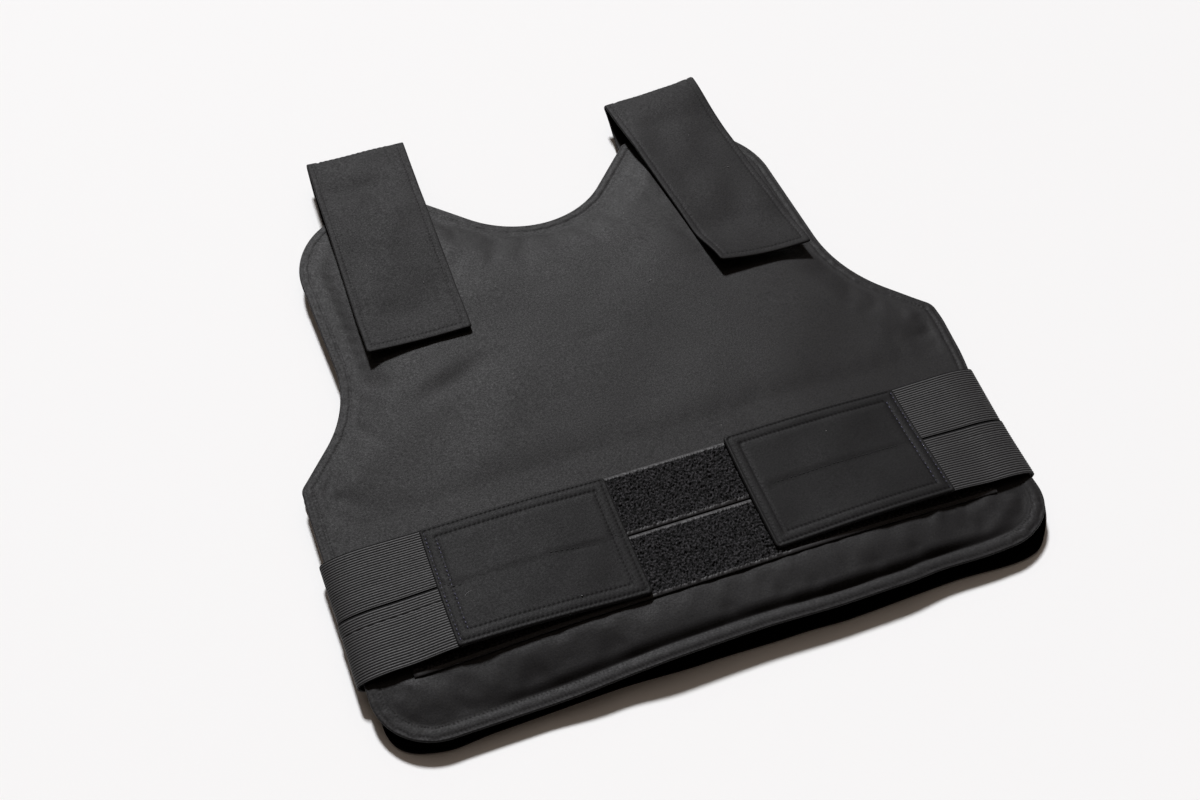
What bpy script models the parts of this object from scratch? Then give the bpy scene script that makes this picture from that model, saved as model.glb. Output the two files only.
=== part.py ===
"""A soft body armour vest, lying flat on its back panel with its straps and belt closed.

Run it with blender --background --python part.py, or from Blender's text editor.
Units are metres and +Z is up. The front panel faces up and the neck points along +Y.
Inside this script x is measured from the vest's centre line and y from just below the
front panel's hem. The last step moves the whole vest so that the origin is at the middle
of its footprint, on the surface that it lies on.
"""

import math

import bmesh
import bpy
import numpy as np
from mathutils import Vector
from mathutils.geometry import delaunay_2d_cdt

# The outline that both panels are cut to, as corners with their radii, for the right half.
# Columns: corner, x from the centre line, y from the hem, radius of the rounded corner.
PANEL_CORNERS = (
    ("bottom of the neck", 0.0, 0.4008, 0.0),
    ("side of the neck", 0.0325, 0.4008, 0.078),
    ("tip of the shoulder", 0.0945, 0.4640, 0.006),
    ("outside of the shoulder", 0.1988, 0.4640, 0.066),
    ("bottom of the armhole", 0.1988, 0.2752, 0.104),
    ("waist", 0.2512, 0.2173, 0.010),
    ("side", 0.2455, 0.0900, 0.300),
    ("hem corner", 0.2450, 0.0035, 0.042),
    ("middle of the hem", 0.0, 0.0035, 0.0),
)
ARC_STEP = 0.011
LINE_STEP = 0.026

# The lower half of each panel leans to one side as it lies, and its hem turns with it.
# Each holds the lean at the hem, the turn of the hem as a slope, and how far the hem
# reaches out past the outline.
WAIST_Y = 0.221
FRONT_LIE = (0.0115, 0.0200, 0.0)
BACK_LIE = (0.0045, 0.0100, 0.0030)

# Padding and stitched edge of both panels.
PAD_THICKNESS = 0.0075
EDGE_THICKNESS = 0.0024
EDGE_WIDTH = 0.009
HEM_EDGE_WIDTH = 0.018
HEM_ZONE = 0.060
SLOPE_WIDTH = 0.015
GRID_STEP = 0.027

# Heights above the surface that the vest lies on.
GAP = 0.0003
BACK_EDGE_HEIGHT = 0.0033
FRONT_EDGE_HEIGHT = 0.0135
HOLLOW = 0.006
HOLLOW_INNER_X = 0.090
HOLLOW_OUTER_X = 0.228
BELT_TOP_Y = 0.190
BELT_FADE_Y = 0.260
HEM_DIP = 0.0012
WAVE_ZONE = 0.040

# Height of the front panel's hem, which lifts off the back panel in slow waves.
# Columns: x from the centre line, height of the middle of the hem's edge.
HEM_WAVES = (
    (-0.245, 0.0140),
    (-0.190, 0.0145),
    (-0.112, 0.0100),
    (-0.050, 0.0165),
    (0.010, 0.0160),
    (0.100, 0.0150),
    (0.245, 0.0150),
)

# The two loop tapes sewn across the front panel, one above the other.
BELT_MIDDLE_Y = 0.0985
TAPE_WIDTH = 0.050
TAPE_HALF_LENGTH = 0.214
TAPE_THICKNESS = 0.0012
TAPE_SPACING = 0.0004

# The closing tabs of the belt.
# Columns: node, side, inner and outer x, y of the middle of the inner and outer end.
TABS = (
    ("tab_left", -1, 0.050, 0.183, 0.0989, 0.1038),
    ("tab_right", 1, 0.042, 0.181, 0.1025, 0.1031),
)
TAB_HEIGHT = 0.0975
TAB_THICKNESS = 0.003
TAB_LIFT = 0.005

# The elastic bands between the tabs and the sides of the back panel.
# Columns: row, y of its lower and upper edge from the middle of the tab, extra reach.
BAND_ROWS = (
    ("upper", 0.0003, 0.0485, 0.0),
    ("lower", -0.0485, -0.0003, 0.0008),
)
BAND_THICKNESS = 0.0016
BAND_LAP_LENGTH = 0.006
BAND_LAP_GAP = 0.0006
BAND_NOSE_INSET = 0.0055
BAND_NOSE_REACH = 0.0086
BAND_NOSE_TOP = 0.0192
BAND_NOSE_STEPS = 8

# The shoulder straps, which come from the back panel and close on the front panel.
# Columns: node, x of its middle at the fold and at the free end, y of the fold and of
# the free end, height of the fold at its left and right edge, slope of the fold's line,
# lift of the left and right corner of the free end.
STRAPS = (
    ("shoulder_strap_left", -0.1196, -0.1347, 0.5189, 0.3086, 0.0182, 0.0202, -0.027, 0.0035, 0.0020),
    ("shoulder_strap_right", 0.1366, 0.1465, 0.5063, 0.3010, 0.0182, 0.0282, -0.012, 0.0070, 0.0035),
)
STRAP_WIDTH = 0.081
STRAP_THICKNESS = 0.0022
STRAP_LAP_Y = 0.4545
STRAP_REST_Y = 0.4390
STRAP_LIFT_LENGTH = 0.045
STRAP_FOLD_RADIUS = 0.0018
STRAP_FOLD_STEPS = 6
STRAP_RISE_POWER = 2.5

# Colour and roughness of each kind of cloth.
CLOTHS = {
    "shell": ((0.045, 0.043, 0.044), 0.92),
    "elastic": ((0.050, 0.049, 0.051), 0.80),
    "loop": ((0.020, 0.019, 0.020), 0.95),
}


def smooth(value):
    """An even S-shaped step from 0 to 1."""
    value = min(max(value, 0.0), 1.0)
    return value * value * (3.0 - 2.0 * value)


def mix(first, second, share):
    return first + (second - first) * share


def read_table(table, position):
    """Smooth height at a position, from rows of position and height."""
    if position <= table[0][0]:
        return table[0][1]
    for (start, low), (end, high) in zip(table, table[1:]):
        if position <= end:
            return mix(low, high, smooth((position - start) / (end - start)))
    return table[-1][1]


def lie(x, y, panel_lie=FRONT_LIE):
    """Where a point of the straight vest lies once its lower half leans."""
    lean, turn, reach = panel_lie
    share = math.sin(math.pi / 2 * min(max((WAIST_Y - y) / WAIST_Y, 0.0), 1.0))
    return x - lean * share, y - turn * x * share - reach * smooth(1.0 - y / WAIST_Y)


def fillet(before, corner, after, radius):
    """Points of the arc that rounds one corner."""
    before, corner, after = Vector(before), Vector(corner), Vector(after)
    backward = (before - corner).normalized()
    forward = (after - corner).normalized()
    half_angle = backward.angle(forward) / 2
    reach = radius / math.tan(half_angle)
    start = corner + backward * reach
    bisector = (backward + forward).normalized()
    centre = corner + bisector * (radius / math.sin(half_angle))
    turn = math.pi - 2 * half_angle
    steps = max(2, math.ceil(turn * radius / ARC_STEP))
    sign = 1.0 if backward.cross(forward) < 0 else -1.0
    spoke = start - centre
    points = []
    for step in range(steps + 1):
        angle = sign * turn * step / steps
        turned = Vector((
            spoke.x * math.cos(angle) - spoke.y * math.sin(angle),
            spoke.x * math.sin(angle) + spoke.y * math.cos(angle),
        ))
        points.append(centre + turned)
    return points


def panel_outline():
    """The closed outline of a panel, clockwise from the bottom of the neck."""
    corners = [((x, y), radius) for _, x, y, radius in PANEL_CORNERS]
    mirrored = [((-x, y), radius) for (x, y), radius in corners[-2:0:-1]]
    corners += mirrored
    rounded = []
    for number, (corner, radius) in enumerate(corners):
        before = corners[number - 1][0]
        after = corners[(number + 1) % len(corners)][0]
        if radius > 0.0:
            rounded += fillet(before, corner, after, radius)
        else:
            rounded.append(Vector(corner))
    outline = []
    for start, end in zip(rounded, rounded[1:] + rounded[:1]):
        length = (end - start).length
        if length < 1e-5:
            continue
        steps = max(1, round(length / LINE_STEP))
        outline += [start.lerp(end, step / steps) for step in range(steps)]
    return outline


def edge_distance(outline, point):
    """Distance from a point to the nearest stretch of the outline."""
    starts = np.array([list(corner) for corner in outline])
    runs = np.roll(starts, -1, axis=0) - starts
    offsets = np.array([point[0], point[1]]) - starts
    along = (offsets * runs).sum(axis=1) / (runs * runs).sum(axis=1)
    nearest = runs * np.clip(along, 0.0, 1.0)[:, None]
    return float(np.sqrt(((offsets - nearest) ** 2).sum(axis=1)).min())


def edge_width(y):
    """Width of the stitched edge, which is broader along the hem."""
    return mix(HEM_EDGE_WIDTH, EDGE_WIDTH, smooth((y - HEM_ZONE / 2) / HEM_ZONE))


def panel_points(outline):
    """Outline, rings along the stitched edge and the padding's slope, and a grid."""
    points = list(outline)
    count = len(outline)
    for share in (0.0, 0.5, 1.0):
        for number, point in enumerate(outline):
            run = outline[(number + 1) % count] - outline[number - 1]
            inward = Vector((run.y, -run.x)).normalized()
            depth = edge_width(point.y) + SLOPE_WIDTH * share
            inner = point + inward * depth
            clear = edge_distance(outline, inner) > depth - 0.0005
            apart = all((inner - other).length > ARC_STEP / 2 for other in points[count:])
            if clear and apart:
                points.append(inner)
    low_x, high_x = min(p.x for p in outline), max(p.x for p in outline)
    low_y, high_y = min(p.y for p in outline), max(p.y for p in outline)
    for row in range(1, int((high_y - low_y) / GRID_STEP) + 1):
        for column in range(int((high_x - low_x) / GRID_STEP) + 1):
            shift = GRID_STEP / 2 if row % 2 else 0.0
            point = Vector((low_x + column * GRID_STEP + shift, low_y + row * GRID_STEP))
            margin = edge_width(point.y) + SLOPE_WIDTH + GRID_STEP * 0.45
            if inside(outline, point) and edge_distance(outline, point) > margin:
                points.append(point)
    return points


def inside(outline, point):
    """True where a point lies inside the outline."""
    crossings = 0
    for start, end in zip(outline, outline[1:] + outline[:1]):
        if (start.y > point.y) != (end.y > point.y):
            share = (point.y - start.y) / (end.y - start.y)
            crossings += point.x < mix(start.x, end.x, share)
    return crossings % 2 == 1


def hollow(x, y):
    """How far the front panel stands off the back panel, where the torso goes."""
    side = smooth((abs(x) - HOLLOW_INNER_X) / (HOLLOW_OUTER_X - HOLLOW_INNER_X))
    belt = 1.0 - smooth((y - BELT_TOP_Y) / (BELT_FADE_Y - BELT_TOP_Y))
    return HOLLOW * (1.0 - side * belt)


def pad_share(y, distance):
    """0 on the stitched edge, 1 on the full padding."""
    return smooth((distance - edge_width(y)) / SLOPE_WIDTH)


def back_middle(x, y, distance):
    """Height of the back panel's middle surface."""
    lying = smooth(1.5 - y / HEM_ZONE)
    edge = mix(BACK_EDGE_HEIGHT, EDGE_THICKNESS / 2, lying)
    return mix(edge, PAD_THICKNESS / 2, pad_share(y, distance))


def front_middle(x, y, distance):
    """Height of the front panel's middle surface."""
    near_hem = smooth(1.5 - y / WAVE_ZONE)
    wave = read_table(HEM_WAVES, x)
    dip = HEM_DIP * math.sin(math.pi * min(distance / HEM_EDGE_WIDTH, 1.0))
    edge = mix(FRONT_EDGE_HEIGHT, wave - dip, near_hem)
    middle = PAD_THICKNESS * 1.5 + GAP + hollow(x, y)
    return mix(edge, middle, pad_share(y, distance))


def front_top(x, y):
    """Height of the top of the front panel's padding."""
    return PAD_THICKNESS * 2 + GAP + hollow(x, y)


def cloth_material(cloth):
    """The material of one kind of cloth, made once."""
    if cloth in bpy.data.materials:
        return bpy.data.materials[cloth]
    colour, roughness = CLOTHS[cloth]
    material = bpy.data.materials.new(cloth)
    material.use_nodes = True
    shader = material.node_tree.nodes["Principled BSDF"]
    shader.inputs["Base Color"].default_value = (*colour, 1.0)
    shader.inputs["Roughness"].default_value = roughness
    shader.inputs["Metallic"].default_value = 0.0
    return material


def add_sheet(name, cloth, vertices, faces, thickness, weights=None):
    """One piece of cloth: an open surface that a Solidify modifier thickens."""
    mesh = bpy.data.meshes.new(name)
    mesh.from_pydata(vertices, [], faces)
    mesh.materials.append(cloth_material(cloth))
    shape = bmesh.new()
    shape.from_mesh(mesh)
    bmesh.ops.recalc_face_normals(shape, faces=shape.faces)
    if sum(face.normal.z * face.calc_area() for face in shape.faces) < 0:
        bmesh.ops.reverse_faces(shape, faces=shape.faces)
    shape.to_mesh(mesh)
    shape.free()
    mesh.shade_smooth()
    mesh.set_sharp_from_angle(angle=math.radians(40))
    sheet = bpy.data.objects.new(name, mesh)
    bpy.data.collections["bulletproof_vest"].objects.link(sheet)
    sheet.parent = bpy.data.objects["vest"]
    solidify = sheet.modifiers.new("thickness", "SOLIDIFY")
    solidify.thickness = thickness
    solidify.offset = 0.0
    if weights is not None:
        group = sheet.vertex_groups.new(name="padding")
        for number, weight in enumerate(weights):
            group.add([number], weight, "REPLACE")
        solidify.vertex_group = group.name
        solidify.thickness_vertex_group = 0.0
    return sheet


def add_panel(name, middle, panel_lie):
    """A padded panel with a thin stitched edge all round."""
    outline = panel_outline()
    points = panel_points(outline)
    ring = list(range(len(outline)))
    flat, _, faces, _, _, _ = delaunay_2d_cdt(points, [], [ring], 1, 1e-6)
    vertices = []
    weights = []
    for point in flat:
        distance = edge_distance(outline, point)
        share = pad_share(point.y, distance)
        height = middle(point.x, point.y, distance)
        vertices.append((*lie(point.x, point.y, panel_lie), height))
        weights.append(mix(EDGE_THICKNESS, PAD_THICKNESS, share) / PAD_THICKNESS)
    return add_sheet(name, "shell", vertices, faces, PAD_THICKNESS, weights)


def add_ribbon(name, cloth, rows, thickness):
    """A strap or band lofted through rows of points, each row running across it."""
    across = len(rows[0])
    vertices = [point for row in rows for point in row]
    faces = []
    for number in range(len(rows) - 1):
        for place in range(across - 1):
            corner = number * across + place
            faces.append((corner, corner + 1, corner + across + 1, corner + across))
    return add_sheet(name, cloth, vertices, faces, thickness)


def spread(start, end, steps):
    """Evenly spaced values from start to end."""
    return [mix(start, end, step / steps) for step in range(steps + 1)]


def add_loop_tapes():
    """Two tapes side by side, which the tabs close on."""
    lift = GAP + TAPE_THICKNESS / 2
    for name, side in (("loop_tape_upper", 1), ("loop_tape_lower", -1)):
        near = BELT_MIDDLE_Y + side * TAPE_SPACING / 2
        far = BELT_MIDDLE_Y + side * TAPE_WIDTH
        rows = []
        for x in spread(-TAPE_HALF_LENGTH, TAPE_HALF_LENGTH, 34):
            row = [(*lie(x, y), front_top(x, y) + lift) for y in spread(near, far, 2)]
            rows.append(row)
        add_ribbon(name, "loop", rows, TAPE_THICKNESS)


def tab_height_at(x, y, outer_share, low_share):
    """Height of the middle of a tab, whose outer lower corner stands off the tapes."""
    lying = front_top(x, y) + 2 * GAP + TAPE_THICKNESS + TAB_THICKNESS / 2
    return lying + TAB_LIFT * smooth(outer_share) * smooth(low_share)


def add_tabs():
    """The tabs at the ends of the elastic bands."""
    for name, side, inner_x, outer_x, inner_y, outer_y in TABS:
        rows = []
        for share in spread(0.0, 1.0, 10):
            x = side * mix(inner_x, outer_x, share)
            middle = mix(inner_y, outer_y, share)
            row = []
            for low_share in spread(1.0, 0.0, 4):
                y = middle + TAB_HEIGHT * (0.5 - low_share)
                row.append((*lie(x, y), tab_height_at(x, y, share, low_share)))
            rows.append(row)
        add_ribbon(name, "shell", rows, TAB_THICKNESS)


def side_x(y):
    """Half the width of a panel between its waist and its hem corner."""
    sides = {name: (corner_y, x) for name, x, corner_y, _ in PANEL_CORNERS}
    heights, widths = zip(sides["hem corner"], sides["side"], sides["waist"])
    return float(np.interp(y, heights, widths))


def back_top(outline, x, y):
    """Height of the back panel's upper face under a point of the front panel."""
    front_x, front_y = lie(x, y)
    back_x, back_y = lie(x, y, BACK_LIE)
    straight_x = x + front_x - back_x
    straight_y = y + front_y - back_y
    distance = edge_distance(outline, (straight_x, straight_y))
    half = mix(EDGE_THICKNESS, PAD_THICKNESS, pad_share(straight_y, distance)) / 2
    return back_middle(straight_x, straight_y, distance) + half


def band_section(outline, side, end_x, end_height, y, reach):
    """Distance from the centre line and height, along one band from lap to tab."""
    section = []
    nose_x = side_x(y) - BAND_NOSE_INSET
    for x in spread(nose_x - BAND_LAP_LENGTH, nose_x, 3):
        height = back_top(outline, side * x, y) + BAND_LAP_GAP + BAND_THICKNESS / 2
        section.append((x, height))
    bottom = section[-1][1]
    middle = (bottom + BAND_NOSE_TOP) / 2
    radius = (BAND_NOSE_TOP - bottom) / 2
    for step in range(1, BAND_NOSE_STEPS + 1):
        angle = -math.pi / 2 + math.pi * step / BAND_NOSE_STEPS
        x = nose_x + (BAND_NOSE_REACH + reach) * math.cos(angle)
        section.append((x, middle + radius * math.sin(angle)))
    for share in spread(0.0, 1.0, 5)[1:]:
        x = mix(nose_x, end_x, share)
        section.append((x, mix(BAND_NOSE_TOP, end_height, math.sin(share * math.pi / 2))))
    return section


def add_bands():
    """Elastic bands, sewn to the back panel's sides, round the front panel to the tabs."""
    outline = panel_outline()
    for tab, side, _, outer_x, _, outer_y in TABS:
        for row_name, low, high, reach in BAND_ROWS:
            columns = []
            end_x = outer_x + GAP
            for y in spread(outer_y + low, outer_y + high, 2):
                low_share = 0.5 - (y - outer_y) / TAB_HEIGHT
                end_height = tab_height_at(side * outer_x, y, 1.0, low_share)
                section = band_section(outline, side, end_x, end_height, y, reach)
                columns.append([(*lie(side * x, y), height) for x, height in section])
            name = tab.replace("tab", "elastic") + "_" + row_name
            add_ribbon(name, "elastic", list(zip(*columns)), BAND_THICKNESS)


def strap_route(fold_y, end_y, fold_height, end_lift, x):
    """y and height along a strap, from the back panel round the fold to the free end."""
    lap_top = BACK_EDGE_HEIGHT + EDGE_THICKNESS / 2
    lap_height = lap_top + GAP + STRAP_THICKNESS / 2
    centre_y = fold_y - STRAP_FOLD_RADIUS
    fold_bottom = fold_height - STRAP_FOLD_RADIUS
    fold_top = fold_height + STRAP_FOLD_RADIUS
    route = []
    for share in spread(0.0, 1.0, 8)[:-1]:
        y = mix(STRAP_LAP_Y, centre_y, share)
        route.append((y, mix(lap_height, fold_bottom, share ** STRAP_RISE_POWER)))
    for step in range(STRAP_FOLD_STEPS + 1):
        angle = -math.pi / 2 + math.pi * step / STRAP_FOLD_STEPS
        route.append((centre_y + STRAP_FOLD_RADIUS * math.cos(angle),
                      fold_height + STRAP_FOLD_RADIUS * math.sin(angle)))
    rest = front_top(x, STRAP_REST_Y) + GAP + STRAP_THICKNESS / 2
    for share in spread(0.0, 1.0, 5)[1:]:
        y = mix(centre_y, STRAP_REST_Y, share)
        route.append((y, mix(fold_top, rest, smooth(share))))
    for y in spread(STRAP_REST_Y, end_y, 8)[1:]:
        lift = end_lift * smooth(1.0 - (y - end_y) / STRAP_LIFT_LENGTH)
        route.append((y, rest + lift))
    return route


def add_straps():
    """The shoulder straps, folded over from the back panel to the front panel."""
    for (name, fold_x, end_x, fold_y, end_y, fold_left, fold_right, slope,
         lift_left, lift_right) in STRAPS:
        columns = []
        for share in spread(0.0, 1.0, 3):
            across = mix(-STRAP_WIDTH / 2, STRAP_WIDTH / 2, share)
            fold_height = mix(fold_left, fold_right, share)
            end_lift = mix(lift_left, lift_right, share)
            column = []
            for y, height in strap_route(fold_y, end_y, fold_height, end_lift, fold_x):
                middle = mix(end_x, fold_x, (y - end_y) / (fold_y - end_y))
                near_fold = slope * smooth((y - STRAP_LAP_Y) / (fold_y - STRAP_LAP_Y))
                column.append((middle + across, y + near_fold * across, height))
            columns.append(column)
        add_ribbon(name, "shell", list(zip(*columns)), STRAP_THICKNESS)


def centre_on_footprint():
    """Moves the vest so that the origin is the middle of its footprint."""
    bpy.context.view_layer.update()
    graph = bpy.context.evaluated_depsgraph_get()
    corners = []
    for piece in bpy.data.collections["bulletproof_vest"].objects:
        if piece.type == "MESH":
            shape = piece.evaluated_get(graph).to_mesh()
            corners += [vertex.co.copy() for vertex in shape.vertices]
    low = [min(corner[axis] for corner in corners) for axis in range(3)]
    high = [max(corner[axis] for corner in corners) for axis in range(3)]
    middle = [(low[axis] + high[axis]) / 2 for axis in range(2)]
    bpy.data.objects["vest"].location = (-middle[0], -middle[1], -low[2])
    bpy.context.view_layer.update()


def build():
    for old in list(bpy.data.objects):
        bpy.data.objects.remove(old)
    collection = bpy.data.collections.new("bulletproof_vest")
    bpy.context.scene.collection.children.link(collection)
    vest = bpy.data.objects.new("vest", None)
    collection.objects.link(vest)
    add_panel("back_panel", back_middle, BACK_LIE)
    add_panel("front_panel", front_middle, FRONT_LIE)
    add_loop_tapes()
    add_tabs()
    add_bands()
    add_straps()
    centre_on_footprint()


build()
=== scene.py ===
"""Looks of the soft body armour vest, which lies closed on a white table.

Each piece is first set out as on a straight vest, in metres, with x from its centre line and
y from just below the front panel's hem. place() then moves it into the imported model's frame.
"""

import math

import bmesh
import bpy
import numpy as np
from mathutils import Matrix, Vector
from mathutils.bvhtree import BVHTree
from mathutils.geometry import delaunay_2d_cdt
from mathutils.interpolate import poly_3d_calc


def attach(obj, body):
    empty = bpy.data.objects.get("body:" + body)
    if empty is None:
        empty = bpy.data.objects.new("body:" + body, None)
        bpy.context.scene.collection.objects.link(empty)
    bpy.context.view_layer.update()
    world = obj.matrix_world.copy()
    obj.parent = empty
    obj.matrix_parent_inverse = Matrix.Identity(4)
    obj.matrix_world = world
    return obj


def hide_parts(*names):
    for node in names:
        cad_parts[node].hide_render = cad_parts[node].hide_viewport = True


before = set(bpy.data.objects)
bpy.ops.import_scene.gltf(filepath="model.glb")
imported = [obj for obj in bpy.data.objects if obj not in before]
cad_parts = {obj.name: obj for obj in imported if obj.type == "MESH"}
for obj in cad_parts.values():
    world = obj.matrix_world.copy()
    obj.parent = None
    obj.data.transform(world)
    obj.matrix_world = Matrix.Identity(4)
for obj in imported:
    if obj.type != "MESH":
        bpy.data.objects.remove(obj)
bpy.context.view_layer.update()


# Table, light and camera.
# The table is a plain white studio surface. One softbox stands behind the neck, which throws
# the hem's shadow towards the viewer, and the room gives a weak warm fill.

TABLE_REACH = 15.0
TABLE_HEIGHT = -0.0002
LAMP_DISTANCE = 2.0


def set_inputs(node, values):
    """Sets a node's inputs by name, and gives the node back."""
    for name, value in values.items():
        node.inputs[name].default_value = value
    return node


def new_material(name, values):
    """A new material with these inputs of its shader set, its shader, nodes and links."""
    material = bpy.data.materials.new(name)
    material.use_nodes = True
    nodes = material.node_tree.nodes
    return material, set_inputs(nodes["Principled BSDF"], values), nodes, material.node_tree.links


def add_object(name, data):
    """Puts a mesh, a light or a camera in the scene."""
    thing = bpy.data.objects.new(name, data)
    bpy.context.scene.collection.objects.link(thing)
    return thing


table_mesh = bpy.data.meshes.new("table")
table_mesh.from_pydata([(x * TABLE_REACH, y * TABLE_REACH, TABLE_HEIGHT)
                        for x, y in ((-1, -1), (1, -1), (1, 1), (-1, 1))], [], [(0, 1, 2, 3)])
table_mesh.materials.append(new_material("white table", {
    "Base Color": (0.90, 0.90, 0.90, 1.0), "Roughness": 0.75, "Specular IOR Level": 0.15})[0])
table = add_object("table", table_mesh)


def add_sun(name, strength, angle, azimuth, elevation, colour):
    """A distant light; azimuth 0 shines from behind the neck, and 90 from the right."""
    light = bpy.data.lights.new(name, "SUN")
    light.energy = strength
    light.angle = math.radians(angle)
    light.color = colour
    lamp = add_object(name, light)
    turn, rise = math.radians(azimuth), math.radians(elevation)
    towards = Vector((math.sin(turn) * math.cos(rise), math.cos(turn) * math.cos(rise),
                      math.sin(rise)))
    lamp.rotation_euler = towards.to_track_quat("Z", "Y").to_euler()
    lamp.location = towards * LAMP_DISTANCE


add_sun("softbox", 4.20, 7.0, 7, 43, (0.99, 1.0, 1.02))
add_sun("softbox glow", 0.3, 60, 9, 55, (1.0, 0.84, 0.72))

room = bpy.data.worlds.new("studio room")
room.use_nodes = True
nodes, links = room.node_tree.nodes, room.node_tree.links
fill_light = set_inputs(nodes["Background"], {"Color": (1.0, 0.78, 0.62, 1.0), "Strength": 0.053})
# Beyond the table the camera sees a pale wall, which doesn't light the vest.
seen = nodes.new("ShaderNodeLightPath")
wall = set_inputs(nodes.new("ShaderNodeBackground"), {"Color": (0.90, 0.89, 0.88, 1.0)})
choice = nodes.new("ShaderNodeMixShader")
links.new(seen.outputs["Is Camera Ray"], choice.inputs[0])
links.new(fill_light.outputs[0], choice.inputs[1])
links.new(wall.outputs[0], choice.inputs[2])
links.new(choice.outputs[0], nodes["World Output"].inputs["Surface"])
bpy.context.scene.world = room
bpy.context.scene.view_settings.view_transform = "Standard"

camera_data = bpy.data.cameras.new("camera")
camera_data.sensor_width = 36.0
camera_data.lens = 46.065
camera_data.clip_end = 60.0
camera = add_object("camera", camera_data)
azimuth, elevation, roll = math.radians(-26.87), math.radians(51.73), math.radians(5.24)
back = Vector((math.sin(azimuth) * math.cos(elevation), -math.cos(azimuth) * math.cos(elevation),
               math.sin(elevation)))
right = Vector((math.cos(azimuth), math.sin(azimuth), 0.0))
up = back.cross(right)
rolled_right = right * math.cos(roll) + up * math.sin(roll)
rolled_up = up * math.cos(roll) - right * math.sin(roll)
camera.matrix_world = Matrix((
    (rolled_right.x, rolled_up.x, back.x, -0.33567),
    (rolled_right.y, rolled_up.y, back.y, -0.65748),
    (rolled_right.z, rolled_up.z, back.z, 0.89090),
    (0.0, 0.0, 0.0, 1.0)))
bpy.context.scene.camera = camera


# Back panel.
# A soft armour pad in a black woven cover. The two faces of the cover are sewn together face
# to face, turned, and topstitched twice round the edge, which leaves a flat flange. Only its
# hem shows from the front, and its outer face lies on the table.

PANEL_CORNERS = (  # corner, x, y, radius of its rounding, for the right half
    ("bottom of the neck", 0.0, 0.4008, 0.0),
    ("side of the neck", 0.0325, 0.4008, 0.078),
    ("tip of the shoulder", 0.0945, 0.4640, 0.006),
    ("outside of the shoulder", 0.1988, 0.4640, 0.066),
    ("bottom of the armhole", 0.1988, 0.2752, 0.104),
    ("waist", 0.2512, 0.2173, 0.010),
    ("side", 0.2455, 0.0900, 0.300),
    ("hem corner", 0.2450, 0.0035, 0.042),
    ("middle of the hem", 0.0, 0.0035, 0.0),
)
WAIST_Y = 0.221
FRONT_LIE = (0.0115, 0.0200, 0.0)
BACK_LIE = (0.0045, 0.0100, 0.0030)
PAD_THICKNESS = 0.0075
EDGE_THICKNESS = 0.0024
EDGE_WIDTH = 0.009
HEM_EDGE_WIDTH = 0.018
HEM_ZONE = 0.060
SLOPE_WIDTH = 0.015
BACK_EDGE_HEIGHT = 0.0033
RIM_RADIUS = 0.0010
STITCH_PITCH = 0.0028
STITCH_THICKNESS = 0.00042
OUTER_ROW = 0.0021
ROW_WIDTH = 0.0008
SEAM_DEPTH = 0.00006
HOLE_DEPTH = 0.00080
PUCKER = 0.00006


def place(points):
    """From the straight vest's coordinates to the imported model's frame."""
    return np.asarray(points, float) + (0.00493, -0.25978, 0.0)


def smooth(value):
    """An even S-shaped step from 0 to 1."""
    value = np.clip(value, 0.0, 1.0)
    return value * value * (3.0 - 2.0 * value)


def mix(first, second, share):
    """The first value at share 0, and the second at share 1."""
    return first + (second - first) * share


def pack(*parts):
    """The parts side by side, as the coordinates of points."""
    return np.stack(parts, axis=-1)


def bump(value, width):
    """A rounded hump of height 1 at 0."""
    return np.exp(-(value / width) ** 2)


def lie(x, y, panel_lie=FRONT_LIE):
    """Where a point of the straight vest lies once its lower half leans."""
    lean, turn, reach = panel_lie
    share = np.sin(np.pi / 2 * np.clip((WAIST_Y - y) / WAIST_Y, 0.0, 1.0))
    return x - lean * share, y - turn * x * share - reach * smooth(1.0 - y / WAIST_Y)


def fillet(before, corner, after, radius):
    """Points of the arc that rounds one corner."""
    before, corner, after = Vector(before), Vector(corner), Vector(after)
    backward = (before - corner).normalized()
    forward = (after - corner).normalized()
    half_angle = backward.angle(forward) / 2
    start = corner + backward * (radius / math.tan(half_angle))
    centre = corner + (backward + forward).normalized() * (radius / math.sin(half_angle))
    turn = math.pi - 2 * half_angle
    steps = max(6, math.ceil(turn * radius / 0.001))
    sign = 1.0 if backward.cross(forward) < 0 else -1.0
    spoke = start - centre
    return [centre + Matrix.Rotation(sign * turn * step / steps, 2) @ spoke
            for step in range(steps + 1)]


def rounded_outline(corners):
    """A closed outline from rows of a corner's place and its radius."""
    points = []
    for number, (corner, radius) in enumerate(corners):
        if radius > 0.0:
            after = corners[(number + 1) % len(corners)][0]
            points += fillet(corners[number - 1][0], corner, after, radius)
        else:
            points.append(Vector(corner))
    return np.array([list(point) for point in points])


def arc_lengths(points):
    """How far along a line each of its points is."""
    return np.concatenate([[0.0], np.cumsum(np.linalg.norm(np.diff(points, axis=0), axis=1))])


def resample(marks, places, table):
    """Each column of the table, whose rows belong to the places, read at the marks."""
    return pack(*[np.interp(marks, places, column) for column in np.transpose(table)])


def even_steps(points, step, closed=True):
    """The same line with points evenly spaced, an even number of steps in all."""
    if closed:
        points = np.vstack([points, points[:1]])
    lengths = arc_lengths(points)
    count = max(2, 2 * round(lengths[-1] / step / 2))
    line = resample(np.linspace(0.0, lengths[-1], count + 1), lengths, points)
    return line[:-1] if closed else line


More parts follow.
